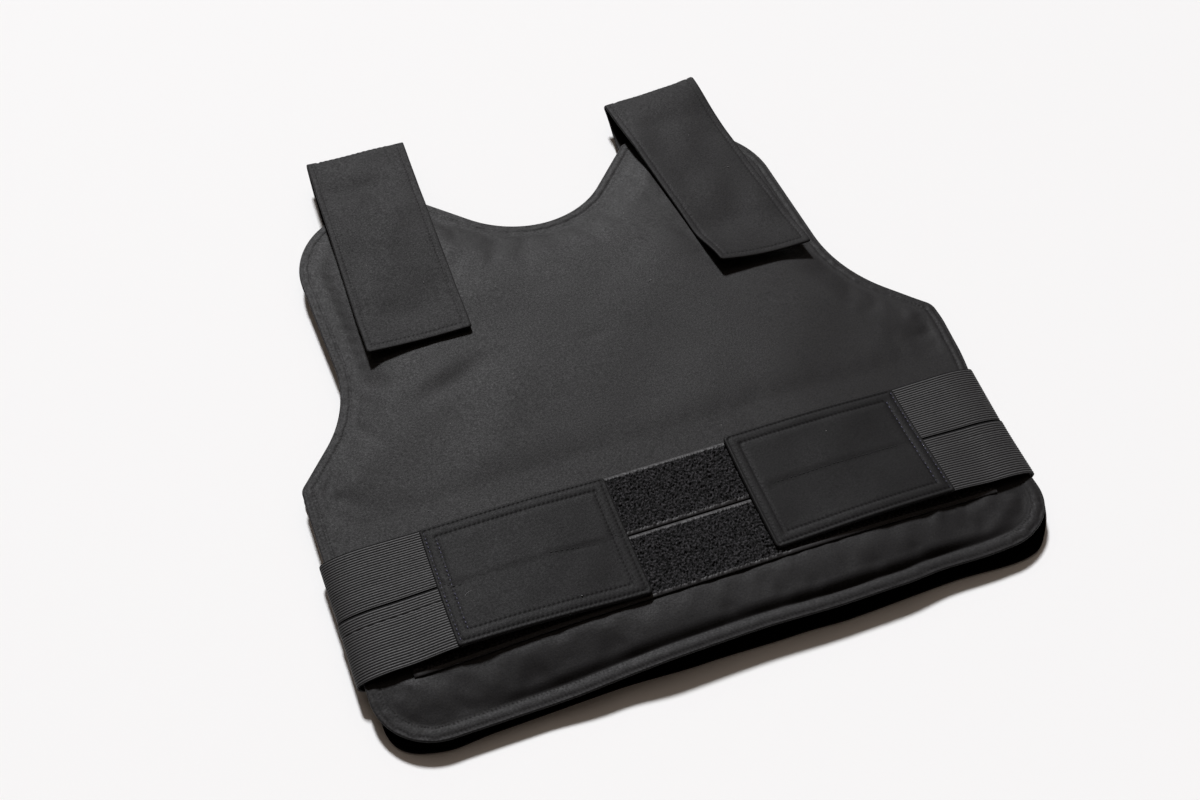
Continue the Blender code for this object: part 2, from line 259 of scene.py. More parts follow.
def edge_distance(outline, points):
    """For each point, the distance to the outline, and how far along the outline it is."""
    runs = np.roll(outline, -1, axis=0) - outline
    lengths = np.linalg.norm(runs, axis=1)
    starts = np.concatenate([[0.0], np.cumsum(lengths)[:-1]])
    distances, places = [], []
    for chunk in np.array_split(np.asarray(points, float), max(1, len(points) // 1500)):
        offsets = chunk[:, None, :] - outline[None, :, :]
        along = np.clip((offsets * runs).sum(axis=2) / lengths ** 2, 0.0, 1.0)
        gaps = ((offsets - runs * along[:, :, None]) ** 2).sum(axis=2)
        nearest = gaps.argmin(axis=1)
        rows = np.arange(len(chunk))
        distances.append(np.sqrt(gaps[rows, nearest]))
        places.append(starts[nearest] + along[rows, nearest] * lengths[nearest])
    return np.concatenate(distances), np.concatenate(places)


def inside(outline, points):
    """True for each point that lies inside the outline."""
    crossings = np.zeros(len(points), int)
    for start, end in zip(outline, np.roll(outline, -1, axis=0)):
        if start[1] != end[1]:
            spans = (start[1] > points[:, 1]) != (end[1] > points[:, 1])
            share = (points[:, 1] - start[1]) / (end[1] - start[1])
            crossings += spans & (points[:, 0] < mix(start[0], end[0], share))
    return crossings % 2 == 1


def inset_ring(outline, inset, skip):
    """Points on a ring inside the outline, and which of them keep clear of its other sides.

    The inset is a distance or a function of y, and only every skip-th point is taken.
    """
    runs = np.roll(outline, -1, axis=0) - np.roll(outline, 1, axis=0)
    inward = pack(runs[:, 1], -runs[:, 0]) / np.linalg.norm(runs, axis=1)[:, None]
    depth = inset(outline[:, 1]) if callable(inset) else np.full(len(outline), inset)
    ring = (outline + inward * depth[:, None])[::skip]
    return ring, edge_distance(outline, ring)[0] > depth[::skip] * 0.985 - 0.00002


def cut_plan(outline, insets, grid_step, grid_margin):
    """Cuts one face of a piece: its outline, rings inside it, and an even grid, as triangles.

    Each inset is a ring's distance from the edge and how many outline points it skips.
    """
    spacing = np.linalg.norm(outline[1] - outline[0])
    points = [outline]
    for inset, skip in insets:
        ring, clear = inset_ring(outline, inset, skip)
        kept = []
        for point in ring[clear]:
            if not kept or np.hypot(*(point - kept[-1])) > spacing * skip * 0.45:
                kept.append(point)
        points.append(np.array(kept))
    low, high = outline.min(axis=0), outline.max(axis=0)
    columns = np.arange(low[0], high[0], grid_step)
    grid = []
    for number, y in enumerate(np.arange(low[1], high[1], grid_step * 0.87)):
        shift = grid_step / 2 if number % 2 else 0.0
        grid.append(pack(columns + shift, np.full(len(columns), y)))
    grid = np.concatenate(grid)
    grid = grid[inside(outline, grid)]
    grid = grid[edge_distance(outline, grid)[0] > grid_margin]
    points = [Vector(point) for point in np.concatenate(points + [grid])]
    ring = list(range(len(outline)))
    flat, _, faces, _, _, _ = delaunay_2d_cdt(points, [], [ring], 1, 1e-7)
    flat = np.array([list(point) for point in flat])
    turned = []
    for face in faces:
        first, second, third = (flat[corner] for corner in face[:3])
        run, rise = second - first, third - first
        area = run[0] * rise[1] - run[1] * rise[0]
        turned.append(tuple(face) if area > 0 else tuple(face[::-1]))
    distance, along = edge_distance(outline, flat)
    pitch = 2 * np.linalg.norm(np.roll(outline, -1, axis=0) - outline, axis=1).mean()
    return {"points": flat, "faces": turned, "distance": distance, "along": along,
            "rim": distance < 1e-6, "outline": outline, "pitch": pitch}


def add_piece(name, vertices, faces, materials, kinds):
    """A visible piece of the vest; kinds gives the number of each face's material."""
    mesh = bpy.data.meshes.new(name)
    mesh.from_pydata(np.asarray(vertices).tolist(), [], faces)
    for material in materials:
        mesh.materials.append(material)
    mesh.polygons.foreach_set("material_index", kinds)
    mesh.shade_smooth()
    piece = add_object(name, mesh)
    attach(piece, "root")
    return piece


def sew(name, plan, top, under, materials):
    """A closed piece of cloth from its two faces, which meet at the rim."""
    inner = ~plan["rim"]
    lower = np.arange(len(top))
    lower[inner] = len(top) + np.arange(inner.sum())
    faces = list(plan["faces"])
    faces += [tuple(int(lower[corner]) for corner in face[::-1]) for face in plan["faces"]]
    kinds = np.zeros(len(faces), int)
    kinds[len(plan["faces"]):] = len(materials) - 1
    return add_piece(name, np.vstack([top, under[inner]]), faces, materials, kinds)


def look_up(plan, places, held_in=False):
    """For each place, the corners of the plan's face nearest to it, and the share of each.

    A place past the edge is extended from the face there, or held in at the edge.
    """
    flat = [Vector((*point, 0.0)) for point in plan["points"]]
    tree = BVHTree.FromPolygons(flat, plan["faces"])
    for x, y in places:
        spot = Vector((x, y, 0.0))
        nearest, _, number, _ = tree.find_nearest(spot)
        face = plan["faces"][number]
        corners = [flat[corner] for corner in face]
        yield face, poly_3d_calc(corners, nearest if held_in else spot)


def on_face(plan, face_points, places):
    """Points and unit normals on a finished face, over places of its plan."""
    found, normals = [], []
    for face, shares in look_up(plan, places):
        corners = [Vector(face_points[corner]) for corner in face]
        found.append(sum((corner * share for corner, share in zip(corners, shares)), Vector()))
        normals.append((corners[1] - corners[0]).cross(corners[2] - corners[0]).normalized())
    return found, normals


def seam_rows(plan, face_points, inset, sign, wanted=None):
    """Rows of stitch ends along the edge of a piece, in step with the pits that they sit in.

    The sign is 1 where the plan's own faces look outward, and wanted picks the places to sew.
    """
    ring, clear = inset_ring(plan["outline"], inset, 2)
    if wanted is not None:
        clear = clear & wanted(ring)
    ring = ring[clear]
    ring = np.vstack([ring, ring[:1]])
    gaps = np.linalg.norm(np.diff(ring, axis=0), axis=1)
    rows = []
    for places in np.split(ring, np.flatnonzero(gaps > 1.9 * plan["pitch"]) + 1):
        if len(places) > 1:
            points, normals = on_face(plan, face_points, places)
            rows.append((points, [normal * sign for normal in normals]))
    return rows


def add_stitches(name, rows, thickness, material, fill=0.66):
    """Lockstitches as short arched threads. Each row holds points and normals one pitch apart."""
    sections = ((0.0, 0.45, -0.55), (0.22, 1.0, 0.30), (0.78, 1.0, 0.30), (1.0, 0.45, -0.55))
    vertices, faces = [], []
    for points, normals in rows:
        for start, end, out in zip(points, points[1:], normals):
            run = end - start
            if run.length < 1e-5 or run.length > 0.012:
                continue
            side = run.cross(out).normalized()
            out = side.cross(run).normalized()
            base = len(vertices)
            for share, size, lift in sections:
                along = mix(0.5 - fill / 2, 0.5 + fill / 2, share)
                middle = start + run * along + out * (lift * thickness)
                for turn in range(5):
                    angle = 2 * math.pi * turn / 5
                    reach = thickness / 2 * size
                    spot = middle + side * (math.cos(angle) * reach) + out * (math.sin(angle) * reach)
                    vertices.append((spot.x, spot.y, max(spot.z, 0.0)))
            for ring in range(base, base + 15, 5):
                for turn in range(5):
                    first, second = ring + turn, ring + (turn + 1) % 5
                    faces.append((first, first + 5, second + 5, second))
            faces.append(tuple(base + turn for turn in range(5)))
            faces.append(tuple(base + 15 + turn for turn in range(5))[::-1])
    add_piece(name, vertices, faces, (material,), np.zeros(len(faces), int))


def weave_group():
    """Woven cloth: crossed threads, uneven dye, fibre fuzz and a scatter of pale lint."""
    group = bpy.data.node_groups.new("woven cloth", "ShaderNodeTree")
    for name, way, kind in (("Cloth Colour", "INPUT", "Color"), ("Thread Pitch", "INPUT", "Float"),
                            ("Unevenness", "INPUT", "Float"), ("Fuzz", "INPUT", "Float"),
                            ("Lint", "INPUT", "Float"), ("Colour", "OUTPUT", "Color"),
                            ("Height", "OUTPUT", "Float"), ("Tone", "OUTPUT", "Float")):
        group.interface.new_socket(name, in_out=way, socket_type=f"NodeSocket{kind}")
    nodes, links = group.nodes, group.links
    given = nodes.new("NodeGroupInput")
    result = nodes.new("NodeGroupOutput")
    where = nodes.new("ShaderNodeTexCoord")
    split = nodes.new("ShaderNodeSeparateXYZ")
    links.new(where.outputs["Object"], split.inputs[0])

    def work(kind, *values):
        node = nodes.new("ShaderNodeMath")
        node.operation = kind
        for number, value in enumerate(values):
            if isinstance(value, (int, float)):
                node.inputs[number].default_value = value
            else:
                links.new(value, node.inputs[number])
        return node.outputs[0]

    def plus(first, second):
        return work("ADD", first, second)

    def times(first, second):
        return work("MULTIPLY", first, second)

    turns = work("DIVIDE", 2 * math.pi, given.outputs["Thread Pitch"])
    warp = work("SINE", times(split.outputs["X"], turns))
    weft = work("SINE", times(plus(split.outputs["Y"], split.outputs["Z"]), turns))
    crossing = times(warp, weft)

    def noise(scale, detail):
        node = set_inputs(nodes.new("ShaderNodeTexNoise"),
                          {"Scale": scale, "Detail": detail, "Roughness": 0.6})
        links.new(where.outputs["Object"], node.inputs["Vector"])
        return work("SUBTRACT", node.outputs[0], 0.5)

    dye = times(plus(noise(14.0, 3.0), noise(160.0, 3.0)), given.outputs["Unevenness"])
    fuzz = times(plus(noise(720.0, 1.0), noise(1900.0, 2.0)), given.outputs["Fuzz"])
    threads = times(crossing, 0.10)
    tone = work("MAXIMUM", plus(1.0, plus(plus(dye, fuzz), threads)), 0.1)
    shade = nodes.new("ShaderNodeVectorMath")
    shade.operation = "SCALE"
    links.new(given.outputs["Cloth Colour"], shade.inputs[0])
    links.new(tone, shade.inputs["Scale"])

    cells = nodes.new("ShaderNodeTexVoronoi")
    cells.inputs["Scale"].default_value = 105.0
    links.new(where.outputs["Object"], cells.inputs["Vector"])
    chosen = nodes.new("ShaderNodeSeparateColor")
    links.new(cells.outputs["Color"], chosen.inputs[0])
    near = work("LESS_THAN", cells.outputs["Distance"], 0.030)
    speck = times(times(near, work("GREATER_THAN", chosen.outputs["Red"], 0.90)),
                  given.outputs["Lint"])
    blend = nodes.new("ShaderNodeMix")
    blend.data_type = "RGBA"
    links.new(speck, blend.inputs["Factor"])
    links.new(shade.outputs[0], blend.inputs["A"])
    blend.inputs["B"].default_value = (0.35, 0.34, 0.33, 1.0)
    links.new(blend.outputs["Result"], result.inputs["Colour"])
    links.new(plus(threads, times(fuzz, 0.40)), result.inputs["Height"])
    links.new(tone, result.inputs["Tone"])
    return group


woven = weave_group()
TONE_GLOSS = 0.39


def cloth_material(name, colour, pitch, unevenness, fuzz, lint, roughness, specular, relief):
    """A matt woven cloth, a little glossier where its tone is paler."""
    material, shader, nodes, links = new_material(name, {
        "Specular IOR Level": specular, "Sheen Weight": 0.03, "Sheen Roughness": 0.5})
    cloth = nodes.new("ShaderNodeGroup")
    cloth.node_tree = woven
    set_inputs(cloth, {"Cloth Colour": (*colour, 1.0), "Thread Pitch": pitch,
                       "Unevenness": unevenness, "Fuzz": fuzz, "Lint": lint})
    height = set_inputs(nodes.new("ShaderNodeBump"), {"Strength": 0.7, "Distance": relief})
    links.new(cloth.outputs["Height"], height.inputs["Height"])
    links.new(cloth.outputs["Colour"], shader.inputs["Base Color"])
    links.new(height.outputs["Normal"], shader.inputs["Normal"])
    dull = nodes.new("ShaderNodeMath")
    dull.operation = "MULTIPLY_ADD"
    links.new(cloth.outputs["Tone"], dull.inputs[0])
    dull.inputs[1].default_value = -TONE_GLOSS * roughness
    dull.inputs[2].default_value = (1.0 + TONE_GLOSS) * roughness
    links.new(dull.outputs[0], shader.inputs["Roughness"])
    return material


def speckle(nodes, links, shader, scale, detail, stops):
    """Colours the shader from fine noise through a ramp of two stops, and gives the noise."""
    noise = set_inputs(nodes.new("ShaderNodeTexNoise"), {"Scale": scale, "Detail": detail})
    links.new(nodes.new("ShaderNodeTexCoord").outputs["Object"], noise.inputs["Vector"])
    ramp = nodes.new("ShaderNodeValToRGB")
    for element, (position, colour) in zip(ramp.color_ramp.elements, stops):
        element.position = position
        element.color = (*colour, 1.0)
    links.new(noise.outputs[0], ramp.inputs[0])
    links.new(ramp.outputs[0], shader.inputs["Base Color"])
    return noise.outputs[0]


def plain_thread(name, colour, roughness):
    """Twisted sewing thread, mottled by fine noise that paints the shade where its ply turns under."""
    material, shader, nodes, links = new_material(name, {"Roughness": roughness})
    speckle(nodes, links, shader, 2500.0, 2.0, ((0.3, [part * 0.55 for part in colour]),
                                                (0.7, [part * 1.35 for part in colour])))
    return material


shell_cloth = cloth_material("black woven shell", (0.0092, 0.0085, 0.0090), 0.00055, 0.25, 1.3, 0.6,
                             0.58, 0.168, 0.00022)
# A near-black copy of the shell cloth, as painted shade on the faces that lie between the panels: the
# back panel's upper face and the front panel's under face.
shade_painted_cloth = cloth_material("black woven cloth in painted shade", (0.0016, 0.0015, 0.0016), 0.00055, 0.25, 0.8, 0.0,
                             0.80, 0.02, 0.00012)
# Black thread, darker than the shell cloth: its own colour, and painted shade so that the stitch pits
# read dark.
black_thread_and_pit_shade = plain_thread("black thread", (0.0050, 0.0050, 0.0058), 0.75)


def inner_row(y):
    """How far in the second row of topstitching runs, wider along the hem."""
    return mix(0.0090, 0.0072, smooth((y - 0.03) / 0.06))


def edge_width(y):
    """Width of the flat edge between the rim and the padding, wider along the hem."""
    return mix(HEM_EDGE_WIDTH, EDGE_WIDTH, smooth((y - HEM_ZONE / 2) / HEM_ZONE))


def pad_share(y, distance):
    """0 on the stitched edge, 1 on the full padding."""
    return smooth((distance - edge_width(y)) / SLOPE_WIDTH)


def rounded(distance, radius):
    """A quarter circle from 0 at a rim to 1 at the radius."""
    return np.sqrt(1.0 - (1.0 - np.clip(distance / radius, 0.0, 1.0)) ** 2)


def half_thickness(y, distance):
    """Half the thickness of a panel, with a rounded rim."""
    thickness = mix(EDGE_THICKNESS, PAD_THICKNESS, pad_share(y, distance))
    return thickness / 2 * rounded(distance, RIM_RADIUS)


def back_middle(x, y, distance):
    """Height of the back panel's middle, whose edge lies on the table only along the hem."""
    edge = mix(BACK_EDGE_HEIGHT, EDGE_THICKNESS / 2, smooth(1.5 - y / HEM_ZONE))
    return mix(edge, PAD_THICKNESS / 2, pad_share(y, distance))


def stitch_pull(along, pitch):
    """How hard a seam pulls the cloth in, in metres: hardest where the thread goes down."""
    hole = (0.5 + 0.5 * np.cos(2 * np.pi * along / pitch)) ** 1.5
    return SEAM_DEPTH + HOLE_DEPTH * hole


def between_rows(y, distance):
    """0 on both rows of topstitching and outside them, and 1 halfway between."""
    share = (distance - OUTER_ROW) / (inner_row(y) - OUTER_ROW)
    return np.sin(np.pi * np.clip(share, 0.0, 1.0))


def topstitch_relief(y, distance, along, pitch):
    """What the two rows of topstitching do to the height of the cloth round the edge."""
    rows = bump(distance - OUTER_ROW, ROW_WIDTH) + bump(distance - inner_row(y), ROW_WIDTH)
    pucker = PUCKER - PUCKER * np.cos(2 * np.pi * along / pitch)
    return between_rows(y, distance) * pucker - rows * stitch_pull(along, pitch)


BACK_HEM = (  # x, how far the back panel's hem is drawn in as it lies
    (-0.2450, 0.0000),
    (-0.2150, 0.0024),
    (-0.1800, 0.0038),
    (-0.1000, 0.0046),
    (-0.0400, 0.0020),
    (0.0300, 0.0000),
    (0.0670, -0.0018),
    (0.1500, -0.0003),
    (0.1950, -0.0026),
    (0.2150, -0.0018),
    (0.2400, 0.0042),
)
HEM_SHIFT_ZONE = 0.040
ARMHOLE_SHIFT = 0.0052
SPLAY_PLACE = (-0.238, 0.016)
SPLAY_REACH = 0.028
SPLAY = (-0.0068, -0.0022)
PANEL_RINGS = ((0.0008, 1), (0.0018, 2), (0.0030, 2), (0.0044, 2), (0.0060, 2), (0.0080, 2),
               (0.0105, 2), (0.0138, 2), (0.0175, 2))
PANEL_GRID = 0.0042
PANEL_GRID_MARGIN = 0.0295


def read_table(table, positions):
    """Smooth values at the positions, from rows of position and value."""
    places, values = np.array(table).T
    number = np.clip(np.searchsorted(places, positions) - 1, 0, len(places) - 2)
    share = (positions - places[number]) / (places[number + 1] - places[number])
    return mix(values[number], values[number + 1], smooth(share))


CORNER_TABLE = ([((x, y), radius) for _, x, y, radius in PANEL_CORNERS]
                + [((-x, y), radius) for _, x, y, radius in PANEL_CORNERS[-2:0:-1]])
outline = even_steps(rounded_outline(CORNER_TABLE), STITCH_PITCH / 2)
panel_insets = [(0.0002, 1), (0.0005, 1), (0.0010, 1), (0.0021, 1)]
for share in (0.18, 0.5, 0.82, 1.0):
    panel_insets.append((lambda y, share=share: mix(OUTER_ROW, inner_row(y), share), 1))
for beyond, skip in PANEL_RINGS:
    panel_insets.append((lambda y, beyond=beyond: inner_row(y) + beyond, skip))
panel_plan = cut_plan(outline, panel_insets, PANEL_GRID, PANEL_GRID_MARGIN)
plan_x, plan_y = panel_plan["points"].T
plan_d, plan_s = panel_plan["distance"], panel_plan["along"]
grooves = topstitch_relief(plan_y, plan_d, plan_s, panel_plan["pitch"])
rim_fade = np.clip(plan_d / 0.001, 0.0, 1.0)

half = half_thickness(plan_y, plan_d)
middle = back_middle(plan_x, plan_y, plan_d)
flat_x, flat_y = lie(plan_x, plan_y, BACK_LIE)
flat_y = flat_y + read_table(BACK_HEM, plan_x) * smooth(1.5 - plan_y / HEM_SHIFT_ZONE)
left_armhole = (smooth((-plan_x - 0.08) / 0.08) * smooth((plan_y - 0.27) / 0.05)
                * smooth((0.49 - plan_y) / 0.04))
splay = bump(np.hypot(plan_x - SPLAY_PLACE[0], plan_y - SPLAY_PLACE[1]), SPLAY_REACH)
flat_x = flat_x + ARMHOLE_SHIFT * left_armhole + SPLAY[0] * splay
flat_y = flat_y + SPLAY[1] * splay
relief = grooves * rim_fade
back_top_face = place(pack(flat_x, flat_y, middle + half + relief))
back_under_face = place(pack(flat_x, flat_y, np.maximum(middle - half - relief, 0.0)))
# The back panel's upper face, under the front panel, is in the cloth darkened as painted shade.
back_panel = sew("back_panel_cover", panel_plan, back_top_face, back_under_face,
                 (shade_painted_cloth, shell_cloth))
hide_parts("back_panel")


def panel_seams(name, face_points, side):
    """The two rows of topstitching round a panel."""
    rows = seam_rows(panel_plan, face_points, OUTER_ROW, side)
    rows += seam_rows(panel_plan, face_points, inner_row, side)
    add_stitches(name, rows, STITCH_THICKNESS, black_thread_and_pit_shade)


panel_seams("back_panel_topstitching", back_under_face, -1.0)


# Front panel.
# Cut and sewn as the back panel. It lies face up on the back panel, stands off it where the
# torso goes, and its hem lifts in slow waves. Above the hem's second row of stitches the cover
# sinks into a valley before the padding starts.

FRONT_EDGE_HEIGHT = 0.0135
GAP = 0.0003
HOLLOW = 0.006
HOLLOW_INNER_X = 0.090
HOLLOW_OUTER_X = 0.228
# Each strap's name, node, x at its fold and its end, y of both, the fold's height on its left and
# its right, its slope, and how far the end lifts on its left and its right.
STRAPS = (
    ("left", "shoulder_strap_left", -0.1196, -0.1347, 0.5189, 0.3086,
     0.0182, 0.0202, -0.027, 0.0035, 0.0020),
    ("right", "shoulder_strap_right", 0.1366, 0.1465, 0.5063, 0.3010,
     0.0182, 0.0282, -0.012, 0.0080, 0.0030),
)
STRAP_WIDTH = 0.081
BELT_TOP_Y = 0.190
BELT_FADE_Y = 0.260
WAVE_ZONE = 0.040
HEM_WAVES = (  # x, height of the middle of the hem's edge
    (-0.245, 0.0112),
    (-0.190, 0.0101),
    (-0.145, 0.0101),
    (-0.096, 0.0126),
    (-0.050, 0.0156),
    (0.010, 0.0153),
    (0.100, 0.0147),
    (0.170, 0.0125),
    (0.245, 0.0130),
)
FRONT_HEM = (  # x, how far the front panel's hem is drawn in as it lies
    (-0.2450, -0.0009),
    (-0.1900, -0.0001),
    (-0.1500, 0.0000),
    (-0.1200, -0.0002),
    (-0.0780, 0.0013),
    (0.0090, 0.0025),
    (0.0700, 0.0007),
    (0.1150, 0.0010),
    (0.1500, 0.0032),
    (0.1900, 0.0021),
    (0.2450, 0.0007),
)
HEM_VALLEY = (  # x, depth of the valley above the hem's stitches, steepness of the padding's foot
    (-0.245, 0.0003, 0.05),
    (-0.180, 0.0006, 0.10),
    (-0.120, 0.0010, 0.20),
    (-0.050, 0.0017, 0.35),
    (0.020, 0.0018, 0.40),
    (0.090, 0.0022, 0.55),
    (0.150, 0.0022, 0.60),
    (0.185, 0.0015, 0.35),
    (0.220, 0.0006, 0.05),
)
VALLEY_START = 0.0092
VALLEY_WIDTH = 0.0018
FOOT_WIDTH = 0.0068
ROLL_WIDTH = 0.0365
ROLL_POWER = 1.75
RISES = ((0.60, 0.028), (0.40, 0.080))
TUCK_MIDDLE = (0.2380, 0.0080)
TUCK_REACH = 0.034
TUCK = (-0.0030, 0.0045)
SIDE_BULGE = 0.0028
COVER_SWELL = 0.0011
COVER_STEPS = 20
HEM_RIDGE = 0.00028
DENTS = (  # x, y, half length, half width, turn in degrees, height
    (-0.120, 0.262, 0.060, 0.016, 62, -0.0007),
    (-0.098, 0.228, 0.050, 0.012, 55, 0.0004),
    (-0.129, 0.266, 0.034, 0.009, 17, -0.0010),
    (-0.122, 0.281, 0.030, 0.008, 20, 0.0006),
    (-0.012, 0.2725, 0.010, 0.0035, -3, -0.0004),
    (-0.068, 0.412, 0.024, 0.007, -27, 0.0008),
    (0.030, 0.330, 0.055, 0.014, 30, -0.0003),
    (-0.060, 0.345, 0.070, 0.020, 15, 0.0004),
    (0.120, 0.255, 0.070, 0.022, -40, -0.0004),
    (-0.185, 0.245, 0.040, 0.012, 75, -0.0004),
    (0.175, 0.230, 0.045, 0.014, -70, -0.0004),
    (0.166, 0.050, 0.010, 0.0035, 65, 0.0014),
    (0.186, 0.047, 0.012, 0.0040, 75, -0.0009),
    (0.205, 0.046, 0.014, 0.0040, 60, 0.0006),
    (0.226, 0.050, 0.012, 0.0045, 40, 0.0006),
    (0.190, 0.030, 0.030, 0.0060, 12, -0.0007),
    (0.215, 0.034, 0.022, 0.0050, 35, 0.0008),
    (-0.215, 0.044, 0.012, 0.0040, -50, 0.0010),
    (-0.196, 0.040, 0.016, 0.0045, -35, -0.0008),
    (-0.120, 0.028, 0.045, 0.0070, 8, -0.0008),
    (-0.060, 0.034, 0.050, 0.0080, -6, 0.0006),
    (0.060, 0.030, 0.050, 0.0070, -5, -0.0005),
)


def hollow(x, y):
    """How far the front panel stands off the back panel."""
    side = smooth((np.abs(x) - HOLLOW_INNER_X) / (HOLLOW_OUTER_X - HOLLOW_INNER_X))
    belt = 1.0 - smooth((y - BELT_TOP_Y) / (BELT_FADE_Y - BELT_TOP_Y))
    return HOLLOW * (1.0 - side * belt)


def front_top(x, y):
    """Height of the full padding of the front panel."""
    return PAD_THICKNESS * 2 + GAP + hollow(x, y)


def front_faces(x, y, distance):
    """Heights of the front panel's two faces, before its stitches and dents."""
    near_hem = smooth(1.5 - y / WAVE_ZONE)
    flange = mix(FRONT_EDGE_HEIGHT, read_table(HEM_WAVES, x), near_hem) + EDGE_THICKNESS / 2
    full = front_top(x, y)
    rise = sum(share * smooth((distance - EDGE_WIDTH) / width) for share, width in RISES)
    valley = read_table([row[:2] for row in HEM_VALLEY], x)
    steep = read_table([row[::2] for row in HEM_VALLEY], x)
    sunk = flange - valley * smooth((distance - VALLEY_START) / VALLEY_WIDTH)
    beyond = distance - VALLEY_START - VALLEY_WIDTH / 2
    roll = 1.0 - (1.0 - np.clip(beyond / ROLL_WIDTH, 0.0, 1.0)) ** ROLL_POWER
    roll = mix(roll, smooth(beyond / FOOT_WIDTH), steep)
    hem_share = smooth((0.075 - y) / 0.045)
    top = mix(mix(flange, full, rise), mix(sunk, full, roll), hem_share)
    under = mix(flange - EDGE_THICKNESS, full - PAD_THICKNESS, pad_share(y, distance))
    return top, np.minimum(under, top - 0.0016)


def tuck(x, y):
    """The front panel's hem, its right corner and its right side above the belt, as they lie."""
    share = bump(np.hypot(x - TUCK_MIDDLE[0], y - TUCK_MIDDLE[1]), TUCK_REACH)
    drawn_in = read_table(FRONT_HEM, x) * smooth(1.5 - y / HEM_SHIFT_ZONE)
    right_side = smooth((x - 0.14) / 0.10) * smooth((y - 0.134) / 0.040) * smooth((0.228 - y) / 0.030)
    return x - TUCK[0] * share + SIDE_BULGE * right_side, y + TUCK[1] * share + drawn_in


def slow_waves(x, y, seed, size, shortest, longest, count=14):
    """Slight unevenness of a padded face, as a sum of long waves."""
    chance = np.random.default_rng(seed)
    total = np.zeros(np.shape(x))
    for _ in range(count):
        length = chance.uniform(shortest, longest)
        angle, phase = chance.uniform(0.0, 2 * np.pi, 2)
        total = total + np.sin(2 * np.pi * (x * np.cos(angle) + y * np.sin(angle)) / length + phase)
    return total * size / math.sqrt(count)


def dents(x, y):
    """Soft dents and folds that the photograph shows in the chest."""
    total = np.zeros(np.shape(x))
    for middle_x, middle_y, length, width, turn, height in DENTS:
        angle = math.radians(turn)
        along = (x - middle_x) * math.cos(angle) + (y - middle_y) * math.sin(angle)
        across = (y - middle_y) * math.cos(angle) - (x - middle_x) * math.sin(angle)
        total = total + height * bump(along, length) * bump(across, width)
    return total


def free_share(x, y, distance):
    """1 where the cover is free, 0 at its stitches and where the belt or a strap lies on it."""
    belt = smooth((y - 0.046) / 0.008) * smooth((0.198 - y) / 0.040)
    share = smooth((distance - 0.0105) / 0.006) * (1.0 - belt)
    for _, _, fold_x, end_x, fold_y, end_y, *_ in STRAPS:
        middle_x = mix(end_x, fold_x, (y - end_y) / (fold_y - end_y))
        beside = smooth((np.abs(x - middle_x) - STRAP_WIDTH / 2 + 0.002) / 0.006)
        share = share * np.maximum(beside, smooth((end_y + 0.012 - y) / 0.012))
    return share


def settled_cover(points):
    """How far a cloth simulation lets the cover swell and ruck up over the padding.

    The cover is a closed bag, a little larger than its padding, held by its seams, belt and straps.
    """
    coarse_outline = even_steps(rounded_outline(CORNER_TABLE), 0.0075)
    coarse = cut_plan(coarse_outline, [(0.0085, 1)], 0.0078, 0.0125)
    x, y = coarse["points"].T
    top, under = front_faces(x, y, coarse["distance"])
    top = np.where(coarse["rim"], (top + under) / 2, top)
    bag = sew("cover_at_rest", coarse, pack(x, y, top), pack(x, y, under), (shell_cloth,))
    held = bag.vertex_groups.new(name="held")
    firm = free_share(x, y, coarse["distance"]) < 0.5
    held.add([int(number) for number in np.flatnonzero(firm)], 1.0, "REPLACE")
    held.add(list(range(len(top), len(bag.data.vertices))), 1.0, "REPLACE")
    cloth = bag.modifiers.new("cloth", "CLOTH")
    cloth.settings.quality = 6
    cloth.settings.mass = 0.25
    cloth.settings.bending_stiffness = 0.4
    cloth.settings.shrink_min = -0.004
    cloth.settings.use_pressure = True
    cloth.settings.uniform_pressure_force = 4.0
    cloth.settings.effector_weights.gravity = 0.0
    cloth.settings.vertex_group_mass = held.name
    cloth.collision_settings.use_collision = False
    for step in range(1, COVER_STEPS + 1):
        bpy.context.scene.frame_set(step)
    shape = bag.evaluated_get(bpy.context.evaluated_depsgraph_get()).to_mesh()
    moved = np.array([vertex.co.z for vertex in shape.vertices])[:len(top)] - top
    bpy.context.scene.frame_set(1)
    bpy.data.objects.remove(bag)
    moved = COVER_SWELL * np.tanh(moved / COVER_SWELL)
    return np.array([sum(moved[corner] * share for corner, share in zip(face, shares))
                     for face, shares in look_up(coarse, points, held_in=True)])


free_cloth = free_share(plan_x, plan_y, plan_d)
top_height, under_height = front_faces(plan_x, plan_y, plan_d)
settled = settled_cover(panel_plan["points"])
on_flange = smooth((plan_d - 0.0005) / 0.002) * smooth((0.0100 - plan_d) / 0.002)
creases = slow_waves(plan_x, plan_y, 8, 0.00009, 0.006, 0.016) * on_flange
hem_ridge = bump(plan_x + 0.055, 0.055) * smooth((0.02 - plan_y) / 0.006)
creases = creases + HEM_RIDGE * between_rows(plan_y, plan_d) * hem_ridge
swell = slow_waves(plan_x, plan_y, 5, 0.00030, 0.035, 0.130) + dents(plan_x, plan_y) + settled
relief = np.where(panel_plan["rim"], 0.0, relief)
rounding = EDGE_THICKNESS / 2 * (1.0 - rounded(plan_d, RIM_RADIUS))
top_height = top_height + relief + creases + free_cloth * swell - rounding
under_height = under_height - relief + rounding
flat_x, flat_y = lie(*tuck(plan_x, plan_y))
front_top_face = place(pack(flat_x, flat_y, top_height))
front_under_face = place(pack(flat_x, flat_y, under_height))
# The front panel's under face, over the back panel, is in the cloth darkened as painted shade.
front_panel = sew("front_panel_cover", panel_plan, front_top_face, front_under_face,
                  (shell_cloth, shade_painted_cloth))
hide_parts("front_panel")
panel_seams("front_panel_topstitching", front_top_face, 1.0)


